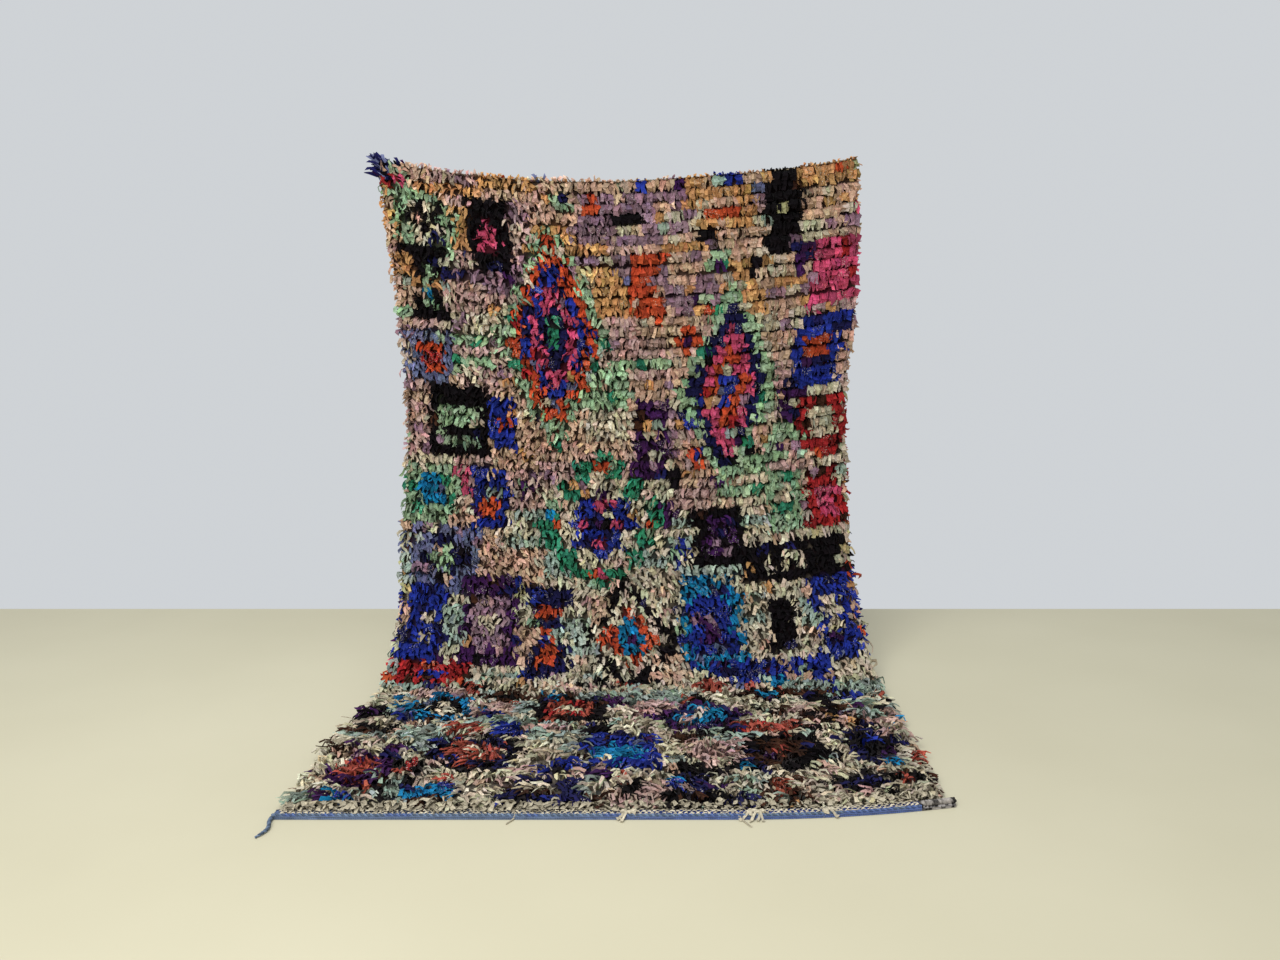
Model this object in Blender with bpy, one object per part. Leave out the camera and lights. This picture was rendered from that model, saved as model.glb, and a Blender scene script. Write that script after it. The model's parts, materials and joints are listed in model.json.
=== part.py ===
"""A boucherouite rug: knotted rag pile that hangs by its top edge, flares forward and runs over the floor.

Metres, +Z up. The origin is the middle of the top edge, on the back of the cloth, where the rug is held.
+X is the right-hand side for someone who faces the pile, and -Y is the way that the pile faces.
Every piece is laid out flat first, as across, along and height over the cloth's back, and is then draped.
"""

import math
import random

import bmesh
import bpy
from mathutils import Vector, noise

# Whole rug
RUG_WIDTH = 1.500
RUG_LENGTH = 2.400
ROW_COUNT = 74
PIECE_GAP = 0.0003
TOP_GAP = 0.0008
TINY = 1e-6

# How it hangs: heights are over the floor
LOWEST_TOP = 1.510
LOWEST_TOP_X = -0.130
LEFT_CORNER_RISE = 0.060
RIGHT_CORNER_RISE = 0.077
FLARE_LENGTH = 0.660
FLARE_ANGLE = math.radians(46)
BEND_LENGTH = 0.130
NEAR_CORNER_SETBACK = 0.060
NEAR_SETBACK_START_X = 0.250
WAVE_DEPTH = 0.007
WAVE_PITCH = 0.640
WAVE_SLANT = 1.6
WAVE_FADE_HEIGHT = 0.9

# Each row of the table: distance down the rug, then how far its left and right edges stand from the middle
EDGE_COLUMNS = ("along", "left", "right")
EDGES = (
    (0.00, 0.775, 0.725),
    (0.22, 0.749, 0.734),
    (0.46, 0.721, 0.729),
    (0.71, 0.706, 0.708),
    (0.96, 0.715, 0.715),
    (1.16, 0.727, 0.723),
    (1.35, 0.715, 0.737),
    (1.50, 0.720, 0.750),
    (1.68, 0.732, 0.764),
    (2.40, 0.754, 0.736),
)

# Pile
BODY_LENGTH = 2.348
SLAB_HALF_WIDTH = 0.722
BODY_COLUMNS = 16
BACK_COLUMNS = 4
VALLEY_HEIGHT = 0.019
CREST_HEIGHT = 0.033
CREST_PLACE = 0.70
LUMP_HEIGHT = 0.010
COARSE_LUMPS_PER_METRE = (6.0, 8.0)
FINE_LUMPS_PER_METRE = (17.0, 31.0)
FINE_LUMP_SHARE = 1.2
LUMP_SEED = 3.0
ROW_WANDER = 0.006
WANDER_SEED = 7.0
RIM_HEIGHT_SHARE = 0.62
THINNEST_PILE = 0.006

# Strips that carry the locks at the rim
STRIP_WIDTH = 0.008
STRIP_THICKNESS = 0.018
STRIP_COLUMNS = ("name", "side", "start", "end", "locks", "reach", "droop", "underside")
STRIPS = (
    ("left_hanging_locks", "left", 0.002, 0.995, 30, 0.022, 0.014, 0.000),
    ("left_flare_locks", "left", 0.998, 1.640, 20, 0.021, 0.014, 0.000),
    ("left_floor_locks", "left", 1.643, 2.348, 22, 0.021, 0.008, 0.000),
    ("right_hanging_locks", "right", 0.002, 0.995, 30, 0.020, 0.014, 0.000),
    ("right_flare_locks", "right", 0.998, 1.640, 20, 0.021, 0.014, 0.000),
    ("right_floor_locks", "right", 1.643, 2.348, 22, 0.022, 0.008, 0.000),
    ("top_left_locks", "top", -0.720, -0.060, 24, 0.019, 0.004, 0.004),
    ("top_right_locks", "top", -0.057, 0.720, 26, 0.010, 0.003, 0.004),
    ("near_locks", "near", -0.715, 0.715, 50, 0.014, 0.004, 0.0105),
)
LOCK_TAPER = 0.58
LOCK_ROOT_INSET = 0.0026
LOCK_ROOT_SHARE = 0.45
UNEVEN_REACH = 0.45
UNEVEN_DROOP = (0.3, 1.5)
UNEVEN_TUFT = (0.5, 1.0)
CORNER_TUFT_REACH = 0.024
CORNER_TUFT_WIDTH = 0.070
SIDE_TUFT_ALONG = 0.475
SIDE_TUFT_HALF_WIDTH = 0.016
SIDE_TUFT_REACH = 0.018

# Flat-woven band and cord at the near end
BAND_WIDTH = 0.036
BAND_THICKNESS = 0.005
BAND_ROLL_THICKNESS = 0.009
BAND_ROLL_SHARES = (0.6, 0.8)
BAND_UNEVENNESS = 0.0006
BAND_BUMPS_PER_METRE = 40.0
BAND_CELLS = 36
CORNER_CELLS = 4
BAND_COLUMNS = 4
BAND_LEFT = -0.740
BAND_RIGHT = 0.672
CORNER_RIGHT = 0.752
TAIL_RADIUS = 0.0048
TAIL_COLUMNS = ("x", "forward", "thickness")
TAIL = (
    (-0.741, 0.000, 1.00),
    (-0.739, 0.014, 1.00),
    (-0.733, 0.030, 0.95),
    (-0.731, 0.046, 0.90),
    (-0.736, 0.062, 0.80),
    (-0.744, 0.076, 0.55),
)

# Tied ends of cream cloth that lie on the band
TIE_COLUMNS = ("name", "across", "width", "legs", "reach")
TIES = (
    ("tie_middle", 0.030, 0.030, 3, 0.020),
    ("tie_right", 0.306, 0.038, 4, 0.024),
    ("tie_far_right", 0.462, 0.022, 2, 0.020),
)
TIE_DEPTH = 0.009
TIE_THICKNESS = 0.008
TIE_CLEARANCE = 0.0010
TIE_PLACE = 0.55
TIE_LEG_SPREAD = 0.006
UNEVEN_TIE_REACH = (0.85, 1.2)

COLORS = {
    "pile": (0.46, 0.42, 0.36),
    "locks": (0.52, 0.46, 0.38),
    "band": (0.10, 0.19, 0.47),
    "mottled": (0.30, 0.28, 0.26),
    "tie": (0.72, 0.66, 0.54),
}

FLARE_RADIUS = FLARE_LENGTH / FLARE_ANGLE
BEND_RADIUS = BEND_LENGTH / (math.pi / 2 - FLARE_ANGLE)
DROP = FLARE_RADIUS * math.sin(FLARE_ANGLE) + BEND_RADIUS * (1 - math.sin(FLARE_ANGLE))
BAND_START = BODY_LENGTH + STRIP_WIDTH + 2 * PIECE_GAP
ROW_PITCH = BODY_LENGTH / ROW_COUNT


def clear_scene():
    for obj in list(bpy.data.objects):
        bpy.data.objects.remove(obj, do_unlink=True)


def new_collection(name):
    collection = bpy.data.collections.new(name)
    bpy.context.scene.collection.children.link(collection)
    return collection


def fabric_material(name, color):
    material = bpy.data.materials.new(name)
    material.use_nodes = True
    shader = material.node_tree.nodes["Principled BSDF"]
    shader.inputs["Base Color"].default_value = (*color, 1.0)
    shader.inputs["Roughness"].default_value = 0.95
    shader.inputs["Metallic"].default_value = 0.0
    return material


def top_edge_height(x):
    """The top edge sags between its two held corners."""
    if x < LOWEST_TOP_X:
        share = (LOWEST_TOP_X - x) / (RUG_WIDTH / 2 + LOWEST_TOP_X)
        return LOWEST_TOP + LEFT_CORNER_RISE * share**2
    share = (x - LOWEST_TOP_X) / (RUG_WIDTH / 2 - LOWEST_TOP_X)
    return LOWEST_TOP + RIGHT_CORNER_RISE * share**2


def near_edge_setback(x):
    """The near edge is straight, then bows back towards its right corner."""
    share = max(0.0, x - NEAR_SETBACK_START_X) / (RUG_WIDTH / 2 - NEAR_SETBACK_START_X)
    return NEAR_CORNER_SETBACK * share**2


def edge_at(column, along):
    """Reads the table of edges on a smooth curve through its rows."""
    index = EDGE_COLUMNS.index(column)
    places = [row[0] for row in EDGES]
    values = [row[index] for row in EDGES]
    along = min(max(along, places[0]), places[-1])
    upper = max(i for i in range(len(EDGES) - 1) if places[i] <= along)
    lower = upper + 1

    def slope(i):
        before, after = max(i - 1, 0), min(i + 1, len(EDGES) - 1)
        return (values[after] - values[before]) / (places[after] - places[before])

    span = places[lower] - places[upper]
    t = (along - places[upper]) / span
    rise = t * t * (3 - 2 * t)
    leave = t * (1 - t) ** 2 * span * slope(upper)
    arrive = t * t * (t - 1) * span * slope(lower)
    return values[upper] * (1 - rise) + values[lower] * rise + leave + arrive


def side_profile(along, hang):
    """The cloth's back seen from the side: y, height, and lean from 0, hanging, to 90 degrees, lying."""
    if along <= hang:
        return 0.0, DROP + hang - along, 0.0
    if along <= hang + FLARE_LENGTH:
        lean = (along - hang) / FLARE_RADIUS
        return -FLARE_RADIUS * (1 - math.cos(lean)), DROP - FLARE_RADIUS * math.sin(lean), lean
    beyond = along - hang - FLARE_LENGTH
    lean = min(FLARE_ANGLE + beyond / BEND_RADIUS, math.pi / 2)
    y = -FLARE_RADIUS * (1 - math.cos(FLARE_ANGLE)) - BEND_RADIUS * (math.cos(FLARE_ANGLE) - math.cos(lean))
    if beyond < BEND_LENGTH:
        return y, BEND_RADIUS * (1 - math.sin(lean)), lean
    return y - (beyond - BEND_LENGTH), 0.0, math.pi / 2


def wave(x, height_over_floor):
    """Slow waves of the hanging cloth, which die out towards the floor."""
    fade = min(max(height_over_floor / WAVE_FADE_HEIGHT, 0.0), 1.0)
    return WAVE_DEPTH * fade * math.sin(2 * math.pi * x / WAVE_PITCH + WAVE_SLANT * height_over_floor)


def drape(across, along, height):
    """Takes a point of the flat layout to its place on the hanging rug."""
    left = edge_at("left", along)
    right = edge_at("right", along)
    share = across / RUG_WIDTH + 0.5
    x = -left + share * (left + right)
    hang = top_edge_height(x) - DROP
    floor_run = RUG_LENGTH - (LOWEST_TOP - DROP) - FLARE_LENGTH - BEND_LENGTH - near_edge_setback(x)
    length = hang + FLARE_LENGTH + BEND_LENGTH + floor_run
    y, z, lean = side_profile(along * length / RUG_LENGTH, hang)
    y += wave(x, z) - height * math.cos(lean)
    z += height * math.sin(lean)
    return Vector((x, y, z - top_edge_height(0.0)))


def flat_slab(x_range, y_range, x_cells, y_cells, top_height, underside=0.0):
    """A closed slab in the flat layout, made from a grid. top_height gives the height of its upper face."""
    shape = bmesh.new()
    bmesh.ops.create_grid(shape, x_segments=x_cells, y_segments=y_cells, size=0.5)
    for vert in shape.verts:
        vert.co.x = x_range[0] + (vert.co.x + 0.5) * (x_range[1] - x_range[0])
        vert.co.y = y_range[0] + (vert.co.y + 0.5) * (y_range[1] - y_range[0])
        vert.co.z = underside
    made = bmesh.ops.extrude_face_region(shape, geom=shape.faces[:], use_keep_orig=True)
    for vert in (item for item in made["geom"] if isinstance(item, bmesh.types.BMVert)):
        vert.co.z = top_height(vert.co.x, vert.co.y)
    face_outwards(shape)
    return shape


def face_outwards(shape):
    bmesh.ops.recalc_face_normals(shape, faces=shape.faces[:])
    if shape.calc_volume(signed=True) < 0:
        bmesh.ops.reverse_faces(shape, faces=shape.faces[:])


def finish_object(shape, name, material, collection):
    """Drapes a flat shape and makes it an object."""
    for vert in shape.verts:
        vert.co = drape(*vert.co)
    face_outwards(shape)
    mesh = bpy.data.meshes.new(name)
    shape.to_mesh(mesh)
    shape.free()
    mesh.materials.append(material)
    obj = bpy.data.objects.new(name, mesh)
    collection.objects.link(obj)
    return obj


def lump(x, along, seed):
    """Unevenness of the pile, from -1 to 1."""
    coarse = noise.noise(Vector((x * COARSE_LUMPS_PER_METRE[0], along * COARSE_LUMPS_PER_METRE[1], seed)))
    fine = noise.noise(Vector((x * FINE_LUMPS_PER_METRE[0], along * FINE_LUMPS_PER_METRE[1], seed + 0.5)))
    return max(-1.0, min(1.0, coarse + FINE_LUMP_SHARE * fine))


def thin_out_back(shape):
    """The back is even, so most of its lines along the rug go."""
    cell = 2 * SLAB_HALF_WIDTH / BODY_COLUMNS
    keep_every = BODY_COLUMNS // BACK_COLUMNS
    spare = []
    for edge in shape.edges:
        a, b = (vert.co for vert in edge.verts)
        on_back = a.z < TINY and b.z < TINY
        column = round((a.x + SLAB_HALF_WIDTH) / cell)
        if on_back and abs(a.x - b.x) < TINY and column % keep_every:
            spare.append(edge)
    bmesh.ops.dissolve_edges(shape, edges=spare, use_verts=True, use_face_split=False)


def make_body(collection):
    """The knotted cloth with its pile: each row of rags rises to a crest, then falls to a gap."""
    half_station = BODY_LENGTH / (2 * ROW_COUNT)

    def pile_top(x, along):
        station = round(along / half_station)
        base = CREST_HEIGHT if station % 2 else VALLEY_HEIGHT
        if station in (0, 2 * ROW_COUNT):
            base = VALLEY_HEIGHT * RIM_HEIGHT_SHARE
        if abs(x) > SLAB_HALF_WIDTH - TINY:
            base *= RIM_HEIGHT_SHARE
        return max(base + LUMP_HEIGHT * lump(x, along, LUMP_SEED), THINNEST_PILE)

    across = (-SLAB_HALF_WIDTH, SLAB_HALF_WIDTH)
    shape = flat_slab(across, (0.0, BODY_LENGTH), BODY_COLUMNS, 2 * ROW_COUNT, pile_top)
    thin_out_back(shape)
    for vert in shape.verts:
        row, half = divmod(round(vert.co.y / half_station), 2)
        if half:
            wander = ROW_WANDER * lump(vert.co.x, vert.co.y, WANDER_SEED) if vert.co.z > TINY else 0.0
            vert.co.y = (row + CREST_PLACE) * ROW_PITCH + wander
    return finish_object(shape, "rug_body", fabric_material("rag_pile", COLORS["pile"]), collection)


def to_rug(side, run, out):
    """Turns a place along a strip and out from it into across and along."""
    if side == "left":
        return -(SLAB_HALF_WIDTH + PIECE_GAP + out), run
    if side == "right":
        return SLAB_HALF_WIDTH + PIECE_GAP + out, run
    if side == "top":
        return run, -(TOP_GAP + out)
    return run, BODY_LENGTH + PIECE_GAP + out


def lock_length(side, run, reach, draws):
    """Uneven reach of one lock, longer at the upper left corner and at one tuft on the right edge."""
    length = reach * (1 + UNEVEN_REACH * draws.uniform(-1, 1))
    corner = run if side == "left" else run + SLAB_HALF_WIDTH
    if side in ("left", "top") and corner < CORNER_TUFT_WIDTH:
        length += CORNER_TUFT_REACH * draws.uniform(*UNEVEN_TUFT)
    if side == "right" and abs(run - SIDE_TUFT_ALONG) < SIDE_TUFT_HALF_WIDTH:
        length += SIDE_TUFT_REACH
    return length


def push(face, length, droop, taper):
    """Moves the end of a lock out and down the rug, and narrows it."""
    middle = face.calc_center_median()
    for vert in face.verts:
        vert.co = middle + (vert.co - middle) * taper + Vector((length, droop, 0.0))


def settle(face, floor_level):
    """Lowers a lock's end so that it lies level on the floor."""
    drop = min(vert.co.z for vert in face.verts) - floor_level
    for vert in face.verts:
        vert.co.z -= drop


def grow_locks(shape, outer_x, length_of, droop_of, floor_level=None):
    """Draws each outer face of a strip out into a tapered lock. Only its root touches its neighbours."""
    roots = [face for face in shape.faces if all(abs(v.co.x - outer_x) < TINY for v in face.verts)]
    roots.sort(key=lambda face: face.calc_center_median().y)
    for root in roots:
        length = length_of(root.calc_center_median().y)
        droop = droop_of()
        bmesh.ops.inset_individual(shape, faces=[root], thickness=LOCK_ROOT_INSET, use_even_offset=True)
        push(root, length * LOCK_ROOT_SHARE, droop * LOCK_ROOT_SHARE**2, 1.0)
        tip = bmesh.ops.extrude_discrete_faces(shape, faces=[root])["faces"][0]
        push(tip, length * (1 - LOCK_ROOT_SHARE), droop * (1 - LOCK_ROOT_SHARE**2), LOCK_TAPER)
        if floor_level is not None:
            settle(tip, floor_level)


def make_strip(row, collection, material, seed):
    """A narrow strip along one edge of the cloth, with the locks that stick out past the rim."""
    part = dict(zip(STRIP_COLUMNS, row))
    draws = random.Random(seed)
    side = part["side"]
    underside = part["underside"]
    shape = flat_slab(
        (0.0, STRIP_WIDTH),
        (part["start"], part["end"]),
        1,
        part["locks"],
        lambda x, y: underside + STRIP_THICKNESS,
        underside,
    )

    def droop_of():
        way = draws.choice((-1, 1)) if side in ("top", "near") else 1
        return way * part["droop"] * draws.uniform(*UNEVEN_DROOP)

    grow_locks(
        shape,
        STRIP_WIDTH,
        lambda run: lock_length(side, run, part["reach"], draws),
        droop_of,
        underside if part["name"].endswith("floor_locks") else None,
    )
    for vert in shape.verts:
        vert.co.x, vert.co.y = to_rug(side, vert.co.y, vert.co.x)
    return finish_object(shape, part["name"], material, collection)


def make_band(name, start, end, cells, seed, material, collection):
    """Flat-woven end band with a rolled outer edge."""

    def band_top(x, along):
        place = (along - BAND_START) / BAND_WIDTH
        rolled = BAND_ROLL_SHARES[0] < place < BAND_ROLL_SHARES[1]
        thickness = BAND_ROLL_THICKNESS if rolled else BAND_THICKNESS
        return thickness + BAND_UNEVENNESS * noise.noise(Vector((x * BAND_BUMPS_PER_METRE, place, seed)))

    shape = flat_slab((start, end), (BAND_START, BAND_START + BAND_WIDTH), cells, BAND_COLUMNS, band_top)
    return finish_object(shape, name, material, collection)


def make_tail(collection, material):
    """Loose end of the edge cord, which lies on the floor in front of the left corner."""
    curve = bpy.data.curves.new("corner_tail", "CURVE")
    curve.dimensions = "3D"
    curve.bevel_depth = TAIL_RADIUS
    curve.bevel_resolution = 2
    curve.use_fill_caps = True
    curve.materials.append(material)
    start = drape(BAND_LEFT, BAND_START + BAND_WIDTH, 0.0)
    spline = curve.splines.new("POLY")
    spline.points.add(len(TAIL) - 1)
    for point, row in zip(spline.points, TAIL):
        step = dict(zip(TAIL_COLUMNS, row))
        rise = TAIL_RADIUS * step["thickness"]
        y = start.y - PIECE_GAP - TAIL_RADIUS - step["forward"]
        point.co = (step["x"], y, start.z + rise, 1.0)
        point.radius = step["thickness"]
    obj = bpy.data.objects.new("corner_tail", curve)
    collection.objects.link(obj)
    return obj


def make_tie(row, collection, material, seed):
    """Cream cloth knotted through the band: a flat knot with its cut ends fanned out over the rolled edge."""
    tie = dict(zip(TIE_COLUMNS, row))
    draws = random.Random(seed)
    base = BAND_ROLL_THICKNESS + TIE_CLEARANCE
    start = tie["across"] - tie["width"] / 2
    shape = flat_slab(
        (0.0, TIE_DEPTH),
        (start, start + tie["width"]),
        1,
        tie["legs"],
        lambda x, y: base + TIE_THICKNESS,
        base,
    )
    grow_locks(
        shape,
        TIE_DEPTH,
        lambda run: tie["reach"] * draws.uniform(*UNEVEN_TIE_REACH),
        lambda: TIE_LEG_SPREAD * draws.uniform(-1, 1),
        floor_level=0.0,
    )
    offset = BAND_START + BAND_WIDTH * TIE_PLACE - BODY_LENGTH
    for vert in shape.verts:
        vert.co.x, vert.co.y = to_rug("near", vert.co.y, vert.co.x + offset)
    return finish_object(shape, tie["name"], material, collection)


def main():
    clear_scene()
    collection = new_collection("boucherouite_rug")
    lock_material = fabric_material("rag_locks", COLORS["locks"])
    band_material = fabric_material("blue_band", COLORS["band"])
    tie_material = fabric_material("cream_tie", COLORS["tie"])
    make_body(collection)
    for seed, row in enumerate(STRIPS):
        make_strip(row, collection, lock_material, seed)
    make_band("end_band", BAND_LEFT, BAND_RIGHT, BAND_CELLS, 1.0, band_material, collection)
    mottled = fabric_material("mottled_cord", COLORS["mottled"])
    make_band("corner_band", BAND_RIGHT + PIECE_GAP, CORNER_RIGHT, CORNER_CELLS, 2.0, mottled, collection)
    make_tail(collection, band_material)
    for seed, row in enumerate(TIES):
        make_tie(row, collection, tie_material, seed)


main()
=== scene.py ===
"""Looks of a boucherouite rug: rag pile planted row by row, the backs of its knots and its woven near end.

Everything is laid out flat first, as across, along and height over the cloth's back, and is then draped.
"""

import json
import math
import random

import bpy
import numpy as np
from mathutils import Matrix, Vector

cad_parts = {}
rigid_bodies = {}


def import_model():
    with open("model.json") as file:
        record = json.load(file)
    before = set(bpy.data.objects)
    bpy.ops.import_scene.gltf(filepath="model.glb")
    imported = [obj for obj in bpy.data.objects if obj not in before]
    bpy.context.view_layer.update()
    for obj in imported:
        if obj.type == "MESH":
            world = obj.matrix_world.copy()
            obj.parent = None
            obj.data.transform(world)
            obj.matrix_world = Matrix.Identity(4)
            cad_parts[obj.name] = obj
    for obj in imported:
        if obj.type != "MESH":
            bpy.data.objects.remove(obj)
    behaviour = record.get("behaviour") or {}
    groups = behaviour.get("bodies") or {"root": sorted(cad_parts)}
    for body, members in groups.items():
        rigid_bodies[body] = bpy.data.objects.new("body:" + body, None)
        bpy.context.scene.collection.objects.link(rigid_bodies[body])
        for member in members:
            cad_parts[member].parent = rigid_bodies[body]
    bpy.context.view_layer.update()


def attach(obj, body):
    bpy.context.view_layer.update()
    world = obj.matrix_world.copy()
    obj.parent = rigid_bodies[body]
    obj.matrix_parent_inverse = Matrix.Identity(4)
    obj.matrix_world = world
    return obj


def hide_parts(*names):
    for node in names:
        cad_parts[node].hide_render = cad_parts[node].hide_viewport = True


# Whole rug, with the same values as the solids
RUG_WIDTH = 1.500
RUG_LENGTH = 2.400
ROW_COUNT = 74
BODY_LENGTH = 2.348
SLAB_HALF_WIDTH = 0.722
LOWEST_TOP = 1.510
LOWEST_TOP_X = -0.130
LEFT_CORNER_RISE = 0.060
RIGHT_CORNER_RISE = 0.077
FLARE_LENGTH = 0.660
FLARE_ANGLE = math.radians(46)
BEND_LENGTH = 0.130
NEAR_CORNER_SETBACK = 0.060
NEAR_SETBACK_START_X = 0.250
WAVE_DEPTH = 0.007
WAVE_PITCH = 0.640
WAVE_SLANT = 1.6
WAVE_FADE_HEIGHT = 0.9
EDGE_COLUMNS = ("along", "left", "right")
EDGES = (
    (0.00, 0.775, 0.725),
    (0.22, 0.749, 0.734),
    (0.46, 0.721, 0.729),
    (0.71, 0.706, 0.708),
    (0.96, 0.715, 0.715),
    (1.16, 0.727, 0.723),
    (1.35, 0.715, 0.737),
    (1.50, 0.720, 0.750),
    (1.68, 0.732, 0.764),
    (2.40, 0.754, 0.736),
)
BAND_START = 2.3566
BAND_WIDTH = 0.036
BAND_LEFT = -0.740
BAND_RIGHT = 0.672
CORNER_RIGHT = 0.752
TAIL_COLUMNS = ("x", "forward", "thickness")
TAIL = (
    (-0.741, 0.000, 1.00),
    (-0.739, 0.014, 1.00),
    (-0.733, 0.030, 0.95),
    (-0.731, 0.046, 0.90),
    (-0.736, 0.062, 0.80),
    (-0.744, 0.076, 0.55),
)
TIE_COLUMNS = ("name", "across", "width", "legs", "reach")
TIES = (
    ("tie_middle", 0.030, 0.030, 3, 0.024),
    ("tie_right", 0.306, 0.038, 4, 0.028),
    ("tie_far_right", 0.462, 0.022, 2, 0.024),
)
FLARE_RADIUS = FLARE_LENGTH / FLARE_ANGLE
BEND_RADIUS = BEND_LENGTH / (math.pi / 2 - FLARE_ANGLE)
DROP = FLARE_RADIUS * math.sin(FLARE_ANGLE) + BEND_RADIUS * (1 - math.sin(FLARE_ANGLE))
ROW_PITCH = BODY_LENGTH / ROW_COUNT
FLOOR_Z = -1.5117

# Knotted ground
GROUND_BACK = 0.0022
GROUND_FRONT = 0.0046
GROUND_HALF_WIDTH = 0.727
GROUND_COLUMNS = 96
GROUND_STEPS_PER_ROW = 2

# Rag locks
LOCKS_PER_ROW = 300
LOCK_HALF_RUN = 0.728
LOCK_SHAPES = 24
LOCK_WIDTH = 0.0086
LOCK_THICKNESS = 0.0024
LOCK_SIDE_WANDER = 0.0034
LOCK_CREASE_WANDER = 0.0040
LOCK_TWIST = 0.55
SHADE_POWER = 0.55
PILE_PIECES = 5
SECOND_ROOT_STEP = 0.009
TUFT_WIDTH = 0.0285
TUFT_GATHER = 0.30
TUFT_SCALE = (35, 31)
ROOT_SHARE = 0.06
RING_COLUMNS = ("down", "out", "width")
LOCK_RINGS = (
    (0.000, -0.001, 0.65),
    (0.001, 0.014, 1.00),
    (0.007, 0.025, 1.15),
    (0.017, 0.028, 1.10),
    (0.027, 0.022, 0.85),
)
SLIDE_PER_ROW = 0.006

# Colours of the rags, as seen in even light
PALETTE = {
    "cream": (0.82, 0.78, 0.685),
    "beige": (0.82, 0.695, 0.605),
    "blush": (0.79, 0.67, 0.635),
    "straw": (0.80, 0.76, 0.58),
    "mint": (0.64, 0.74, 0.61),
    "sage": (0.67, 0.73, 0.68),
    "green": (0.24, 0.56, 0.44),
    "black": (0.060, 0.030, 0.068),
    "navy": (0.13, 0.13, 0.33),
    "royal": (0.17, 0.24, 0.60),
    "slate": (0.46, 0.48, 0.61),
    "purple": (0.29, 0.14, 0.35),
    "mauve": (0.63, 0.515, 0.57),
    "pink": (0.81, 0.36, 0.49),
    "orange": (0.79, 0.36, 0.23),
    "red": (0.68, 0.20, 0.21),
    "rust": (0.70, 0.36, 0.30),
    "ochre": (0.80, 0.62, 0.43),
    "turquoise": (0.12, 0.53, 0.70),
    "brown": (0.28, 0.17, 0.12),
}
COLOR_NAMES = tuple(PALETTE)

# Ground colours of each part of the rug, where a name that comes twice is twice as common
FIELD_COLUMNS = ("from_along", "to_along", "from_across", "to_across", "colors")
FIELDS = (
    (0.00, 0.42, -0.80, 0.05, ("beige", "blush", "mauve", "beige", "beige", "ochre", "mauve", "ochre")),
    (0.00, 0.42, 0.05, 0.80, ("ochre", "beige", "ochre", "beige", "beige", "ochre", "mauve", "cream")),
    (
        0.42, 1.02, -0.80, 0.80,
        ("beige", "cream", "blush", "beige", "blush", "mint", "cream", "beige", "blush"),
    ),
    (
        1.02, 1.64, -0.80, 0.80,
        ("cream", "beige", "cream", "sage", "cream", "sage", "cream", "straw", "cream"),
    ),
    (1.64, 2.50, -0.80, 0.80, ("cream", "sage", "cream", "blush", "cream", "sage", "cream")),
)
BLOCK_WIDTH = 0.150
BLOCK_LENGTH = 0.125
BLOCK_WANDER = (0.30, 0.35)
STREAK_SHARE = 0.22
HAND_WANDER = 0.010

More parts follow.
